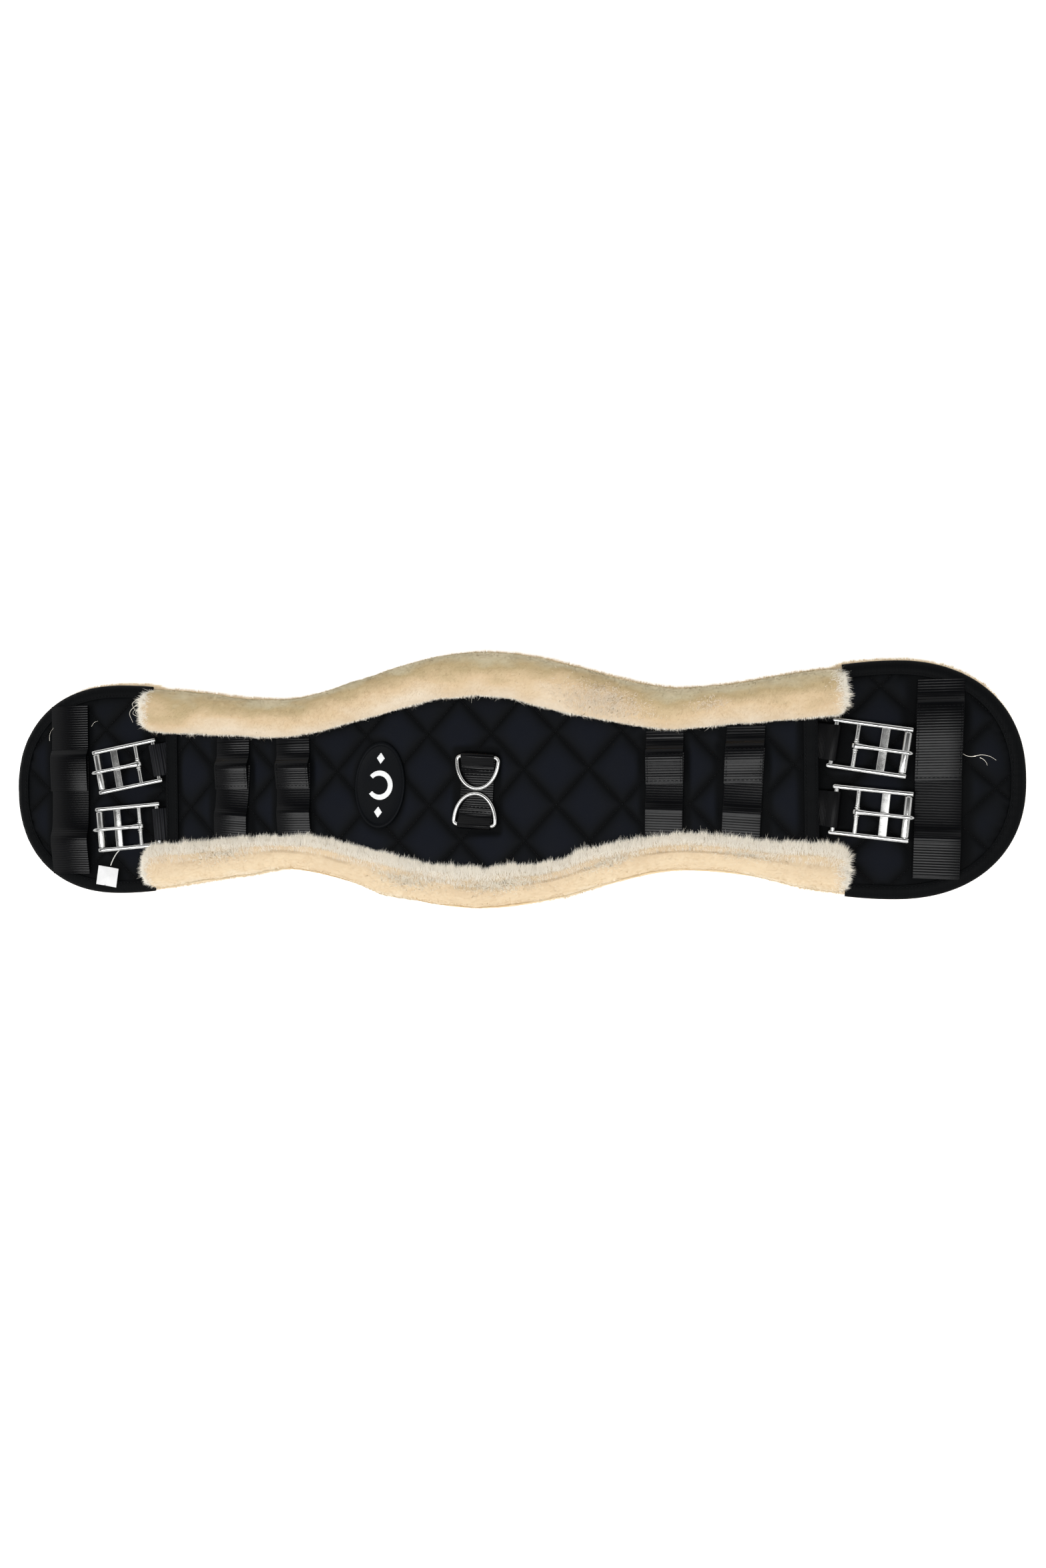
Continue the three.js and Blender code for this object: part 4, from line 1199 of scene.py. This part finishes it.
def bead(x, y, radius, length):
    turns = np.linspace(-1, 1, 9)
    profile = radius * (1 - 0.28 * np.abs(turns) ** 3)
    ring = circle(1, 20)
    return loft([[(x + r * c, y + t * length / 2, r * s) for c, s in ring] for t, r in zip(turns, profile)])


def frame_geometry():
    half = (BUCKLE_WIDTH - SIDE_BAR_WIDTH) / 2
    beads = ((3.25, 2.8, 1.5), (-3.25, 2.8, 1.5), (5.0, 2.35, 1.2), (-5.0, 2.35, 1.2))
    return join(side_bar(-1), side_bar(1), cross_bar(0, BASE_BAR_RADIUS, half), cross_bar(PIVOT_X, PIVOT_RADIUS, half),
                *(bead(PIVOT_X, *size) for size in beads), flat_bar(GUARD_X, 6.5, 2.2, half),
                cross_bar(ROLLER_X, 1.7, half))  # fmt: skip


def roller_geometry():
    """A sleeve rolled from sheet, with its butt joint left as a fine gap."""
    half = (BUCKLE_WIDTH - 2 * SIDE_BAR_WIDTH) / 2 - 0.35
    gap = math.radians(4)
    turns = np.linspace(gap, 2 * math.pi - gap, 40) + math.radians(200)
    ys = (-half, -half + 0.25, -half + 0.7, 0, half - 0.7, half - 0.25, half)
    rows = []
    for y, chamfer in zip(ys, (0.35, 0.1, 0, 0, 0, 0.1, 0.35)):
        wall = [(ROLLER_RADIUS - chamfer, a) for a in turns] + [(ROLLER_BORE, a) for a in turns[::-1]]
        rows.append([(ROLLER_X + radius * math.cos(a), y, radius * math.sin(a)) for radius, a in wall])
    return loft(rows)


def tongue_geometry():
    """A bar wrapped round the pivot and drawn out to a rounded tip that lies over the roller."""
    eye = [[(PIVOT_X + (TONGUE_EYE_RADIUS + h) * math.cos(a), w, (TONGUE_EYE_RADIUS + h) * math.sin(a))
            for w, h in rounded(3.9, 1.55, 0.6, 3)] for a in np.radians(np.linspace(-250, 95, 30))]  # fmt: skip
    path = spline([(PIVOT_X + 0.4, 2.9), (PIVOT_X + 5, 3.3), (28, 3.2), (39, 3.7), (ROLLER_X - 4, 4.8),
                   (ROLLER_X + 1.5, 4.85), (ROLLER_X + 5.6, 3.95)], 1.0)  # fmt: skip
    run = np.linspace(0, 1, len(path))
    width = np.interp(run, [0, 0.08, 0.2, 0.6, 0.86, 0.94, 0.985, 1], [4.4, 4.1, 3.5, 3.1, 3.2, 3.3, 2.3, 0.9])
    height = np.interp(run, [0, 0.1, 0.8, 0.95, 1], [1.9, 2.4, 2.2, 1.9, 0.7])
    ring = circle(1, 16)
    prong = [[(x, a * w / 2, z + b * h / 2) for a, b in ring] for (x, z), w, h in zip(path, width, height)]
    return join(loft(eye), loft(prong))


STRAP_PLY = 1.7
STRAP_WIDTH = 28


def buckle_strap_geometry(ribbed):
    """Webbing folded round the base bar, its two plies meeting again inside the girth's end."""
    radius = BASE_BAR_RADIUS + 0.4 + STRAP_PLY / 2
    tail_z = (levels("girth_web_upper")[0] + PANEL_BOTTOM) / 2
    drop = tail_z - JOINTS["buckle_fold_left_upper"]["pos_m"][2] / MM
    bend = [(radius * math.cos(a), radius * math.sin(a)) for a in np.radians(np.linspace(112, -112, 26))]
    above, below = drop + STRAP_PLY / 2 + 0.05, drop - STRAP_PLY / 2 - 0.05
    upper = spline([(-41, above), (-20, above), (-9, above + 0.05), bend[0]], 0.8)
    lower = spline([bend[-1], (-9, below), (-20, below), (-41, below)], 0.8)
    path = resample(np.array([*upper[:-1], *bend, *lower[1:]]), 0.33)
    return ribbon(path, STRAP_WIDTH, STRAP_PLY, *((3.0, 0.5) if ribbed else (1.2, 0.1)))


def make_buckle(name):
    place = buckle_place(name)
    parts = (("frame", "steel", "buckle", frame_geometry, 35), ("roller", "sleeve", "roller", roller_geometry, 35),
             ("tongue", "prong", "tongue", tongue_geometry, 45))  # fmt: skip
    for part, ending, body, shape, sharp in parts:
        node = f"buckle_{part}_{name}"
        add_piece(f"{node}_{ending}", shape(), STEEL, f"{body}_{name}", [node], sharp, place)
    # the strap lies level, whatever way its buckle leans
    axes = [Vector((place[0][k], place[1][k], 0)).normalized() for k in (0, 1)]
    level = Matrix.Translation(place.translation) @ Matrix((*axes, (0, 0, 1))).transposed().to_4x4()
    left = name.startswith("left")
    look, slot, body = (ELASTIC, "elastic", f"elastic_{name}") if left else (WEBBING_ALONG_X, "webbing", ROOT)
    node = f"buckle_strap_{name}"
    add_piece(f"{node}_webbing", buckle_strap_geometry(left), look, body, [node], 40, level)


# ---- Dee rings and their tab

DEE_WIRE = 1.7
DEE_HALF_WIDTH = 17.5
DEE_DEPTH = 25.8
DEE_CORNER = 3.0
DEE_TAB_WIDTH = 28
DEE_PLY = 1.4


def dee_line():
    """The ring's centre line, with its straight bar along X and its bow towards -Y."""
    half, corner = DEE_HALF_WIDTH, DEE_CORNER
    bow = [(half * math.cos(a), -corner + (DEE_DEPTH - corner) * math.sin(a))
           for a in np.linspace(math.pi, 2 * math.pi, 60)]  # fmt: skip
    right = [(half - corner + corner * math.cos(a), -corner + corner * math.sin(a))
             for a in np.linspace(0, math.pi / 2, 10)[1:]]  # fmt: skip
    closed = np.array([*bow, *right, *((-x, y) for x, y in right[::-1])])
    points = resample(np.vstack([closed, closed[:1]]), 1.0)[:-1]
    return np.column_stack([points, np.zeros(len(points))])


def make_dees():
    bar = Vector(JOINTS["dee_swing_upper"]["axis"])
    turn = Matrix.Rotation(math.atan2(-bar.y, -bar.x), 4, "Z")
    ring = tube(dee_line(), DEE_WIRE, 16, closed=True)
    for side, half_turn in (("upper", 0), ("lower", math.pi)):
        place = Matrix.Translation(Vector(JOINTS[f"dee_swing_{side}"]["pos_m"])) @ turn
        place = place @ Matrix.Rotation(half_turn, 4, "Z")
        add_piece(f"dee_ring_{side}_wire", ring, STEEL, f"dee_{side}", [f"dee_ring_{side}"], 60, place)
    upper, lower = (np.array(JOINTS[f"dee_swing_{side}"]["pos_m"]) / MM for side in ("upper", "lower"))
    radius = DEE_WIRE + 0.4 + DEE_PLY / 2
    floor = PANEL_TOP + 0.3 + DEE_PLY / 2
    half = math.dist(upper[:2], lower[:2]) / 2
    turns = np.radians(np.linspace(-95, 105, 22))
    fold = [(half + radius * math.cos(a), upper[2] + radius * math.sin(a)) for a in turns]
    back = [(half - 7, floor + DEE_PLY + 0.35), (half - 12.5, floor + DEE_PLY + 0.1)]
    right = np.array([*spline([(0, floor), (half - 9, floor), fold[0]], 0.8)[:-1], *fold, *back])
    path = spline(np.concatenate([(right * (-1, 1))[::-1], right]), 0.4)
    middle = Matrix.Translation(((upper[0] + lower[0]) / 2, (upper[1] + lower[1]) / 2, 0)) @ turn
    strip = moved(swapped(ribbon(path, DEE_TAB_WIDTH, DEE_PLY - 0.1, 1.9, 0.12)), middle)
    add_piece("dee_tab_webbing", strip, WEBBING_ALONG_Y, ROOT, ["dee_tab"])
    across = np.linspace(2 - DEE_TAB_WIDTH / 2, DEE_TAB_WIDTH / 2 - 2, 16)
    rows = [stitches(np.column_stack([across, np.full(16, sign * offset), np.full(16, z)]))
            for sign in (1, -1) for offset, z in ((half - 10.8, floor + 1.5 * DEE_PLY + 0.25),
                                                  (half - 14.6, floor + DEE_PLY / 2 + 0.2))]  # fmt: skip
    add_piece("dee_tab_stitching", moved(join(*rows), middle), SEWING, ROOT, sharp=0)


# ---- Patch


def make_patch():
    low, high = box_mm("patch")
    (x, y, _), half = (low + high) / 2, (high - low) / 2
    tilt = Matrix.Rotation(math.radians(-4), 4, "Z")

    def place(z):
        return Matrix.Translation(Vector((x, y, low[2] + z)) * MM) @ tilt

    profile = [(0.985, 0.0), (1.0, 0.45), (1.0, 1.3), (0.985, 1.75), (0.962, 1.95), (0.935, 1.95), (0.912, 1.7),
               (0.898, 1.3), (0.88, 1.18), (0.6, 1.2), (0.3, 1.22), (0.06, 1.22)]  # fmt: skip
    ring = circle(1, 96) * half[:2]
    rows = [[(u * k, v * k, z) for u, v in ring] for k, z in profile]
    add_piece("patch_rubber", loft(rows), RUBBER, ROOT, ["patch"], 50, place(0))

    # the motif is a horseshoe between two diamonds
    outer, inner, thick = 11.6, 7.4, 0.9
    middle = (outer + inner) / 2
    opening = math.radians(140)
    section = rounded(outer - inner, thick, 0.25, 3)
    rows = []
    for a in np.linspace(-opening, opening, 56):
        flare = 1 - 0.16 * smoothstep(abs(a), opening * 0.55, opening)
        reach = [(middle + w * flare, z) for w, z in section]
        rows.append([(r * math.cos(a), r * math.sin(a) * 1.06, z) for r, z in reach])
    parts = [loft(rows)]
    corners = ((3.4, 0), (0, 4.6), (-3.4, 0), (0, -4.6))
    for v in (-22.5, 22.5):
        parts.append(loft([[(c * k, v + d * k, z) for c, d in corners]
                           for k, z in ((1, -thick / 2), (1, thick / 2 - 0.1), (0.93, thick / 2))]))  # fmt: skip
    motif_place = place(1.22 + thick / 2 - 0.1)
    add_piece("patch_motif_white", join(*parts), WHITE, ROOT, ["patch_motif"], 50, motif_place)


# ---- Swing tag and its thread

THREAD_RADIUS = 0.45
THREAD_ROUTE = ((-291, -47), (-298, -47.8), (-306, -48.6), (-314, -49.4), (-321, -50.9), (-327, -53.8), (-331, -58),
                (-334, -63), (-336, -67.4))  # fmt: skip


def make_tag():
    low, high = box_mm("swing_tag")
    width, height = 19.6, 16.8
    section = rounded(height, 0.45, 0.2, 3)
    rows = [[(u * width, w, z + 0.5 * (u * 2) ** 2) for w, z in section] for u in np.linspace(-0.5, 0.5, 13)]
    place = Matrix.Translation(Vector((low + high) / 2) * MM) @ Matrix.Rotation(math.radians(-9), 4, "Z")
    tag = add_piece("swing_tag_card", loft(rows), CARD, ROOT, ["swing_tag"], 50, place)

    thread_z = sum(levels("tag_thread")) / 2
    route = spline([(x, y, thread_z) for x, y in THREAD_ROUTE], 1.2) * MM
    curve = bpy.data.curves.new("tag_thread_cotton", "CURVE")
    curve.dimensions = "3D"
    curve.bevel_depth = THREAD_RADIUS * MM
    curve.bevel_resolution = 2
    curve.use_fill_caps = True
    line = curve.splines.new("POLY")
    line.points.add(len(route) - 1)
    for point, place in zip(line.points, route):
        point.co = (*place, 1)
    curve.materials.append(THREAD)
    thread = put("tag_thread_cotton", curve)
    hand_over(thread, ROOT, ["tag_thread"])


# ---- Loose hairs and lint


def make_loose_hairs():
    """Strands that have worked out of the fleece, and lint caught on the black pads."""
    upper_end = np.array((4 - ROLL_HALF_LENGTH, half_width(ROLL_HALF_LENGTH), ROLL_TOP - 5))
    strands = []
    for drop, reach, curl, rise in ((8, 17, 11, -6), (12, 21, 18, -9), (18, 15, 6, -8), (27, 18, -9, -9),
                                    (31, 12, -14, -10), (22, 10, 4, -7), (34, 15, -6, -11)):  # fmt: skip
        bends = [(0, 0, 0), (-reach * 0.45, -curl * 0.1, rise * 0.3), (-reach, -curl * 0.5, rise * 0.8),
                 (-reach * 0.92, -curl, rise)]  # fmt: skip
        strands.append((upper_end - (0, drop, 0) + bends, 0.34))
    for x, y, length, angle in ((391, 17, 17, -12), (393, 17, 11, 160), (396, 16, 8, -50), (-394, 44, 12, 70),
                                (-352, 56, 8, 35), (-366, 30, 4, 10)):  # fmt: skip
        way = np.array((math.cos(math.radians(angle)), math.sin(math.radians(angle)), 0))
        side = np.array((-way[1], way[0], 0))
        bends = [length * (way * t + side * 0.16 * math.sin(3 * t)) for t in (0, 0.35, 0.7, 1)]
        strands.append((np.array((x, y, COVER_TOP + 3.4)) + bends, 0.24 if x > 0 else 0.13))
    parts = []
    for points, radius in strands:
        line = spline(points, 1.0)
        parts.append(tube(line, radius, 5, taper=np.linspace(1, 0.35, len(line))))
    geometry = join(*parts)
    values = {"across": np.full(len(geometry[0]), 0.9), "tone": np.full(len(geometry[0]), 1.0)}
    add_piece("loose_fleece_strands", geometry, FRINGE, sharp=60, attributes=values)


# ---- Pieces sealed inside


def finish_inner_pieces():
    for node, look in (("liner_foam", FOAM), ("girth_foam", FOAM), ("girth_backing", BINDING),
                       ("girth_web_upper", WEBBING_ALONG_X), ("girth_web_lower", WEBBING_ALONG_X)):  # fmt: skip
        frame["nodes"][node].data.materials.clear()
        frame["nodes"][node].data.materials.append(look)


# ---- Floor and lights


def make_stage():
    look = Look("floor", Emission_Color=(1, 1, 1, 1), Emission_Strength=0.55)
    grain = look.noise(0.02, 3)
    look.finish(Base_Color=look.ramp(grain, (0.3, (0.88, 0.88, 0.87)), (0.7, (0.92, 0.92, 0.91))), Roughness=0.9)
    bpy.ops.mesh.primitive_plane_add(size=8)
    floor = bpy.context.object
    floor.name = "floor"
    floor.data.materials.append(look.material)

    world = bpy.data.worlds.new("studio")
    scene.world = world
    world.use_nodes = True
    nodes, link = world.node_tree.nodes, world.node_tree.links.new
    background = nodes["Background"]
    split, ramp = nodes.new("ShaderNodeSeparateXYZ"), nodes.new("ShaderNodeValToRGB")
    link(nodes.new("ShaderNodeTexCoord").outputs["Generated"], split.inputs[0])
    link(split.outputs["Z"], ramp.inputs["Fac"])
    link(ramp.outputs["Color"], background.inputs["Color"])
    elements = ramp.color_ramp.elements
    for position in (0.3, 0.66, 0.76):
        elements.new(position)
    for element, level in zip(elements, (0.6, 1.0, 1.0, 0.16, 0.12)):
        element.color = (level, level, level, 1)
    background.inputs["Strength"].default_value = 0.88

    data = bpy.data.lights.new("key", "AREA")
    data.shape = "RECTANGLE"
    data.size, data.size_y = 1.9, 0.44
    data.energy = 17
    key = put("key", data)
    key.location = (0, -0.31, 1.4)
    key.rotation_euler = (-key.location).to_track_quat("-Z", "Y").to_euler()


# ---- The whole girth

make_tag()
make_lining()
make_cover()
for side, sign in (("left", -1), ("right", 1)):
    make_binding(side, sign)
    make_hem(side)
make_roll("upper", 1)
make_roll("lower", -1)
make_girth_panel()
for strap in STRAPS:
    make_upper_strap(strap)
    make_lower_strap(strap)
for buckle in BUCKLES:
    make_buckle(buckle)
make_dees()
make_patch()
make_loose_hairs()
finish_inner_pieces()
make_stage()
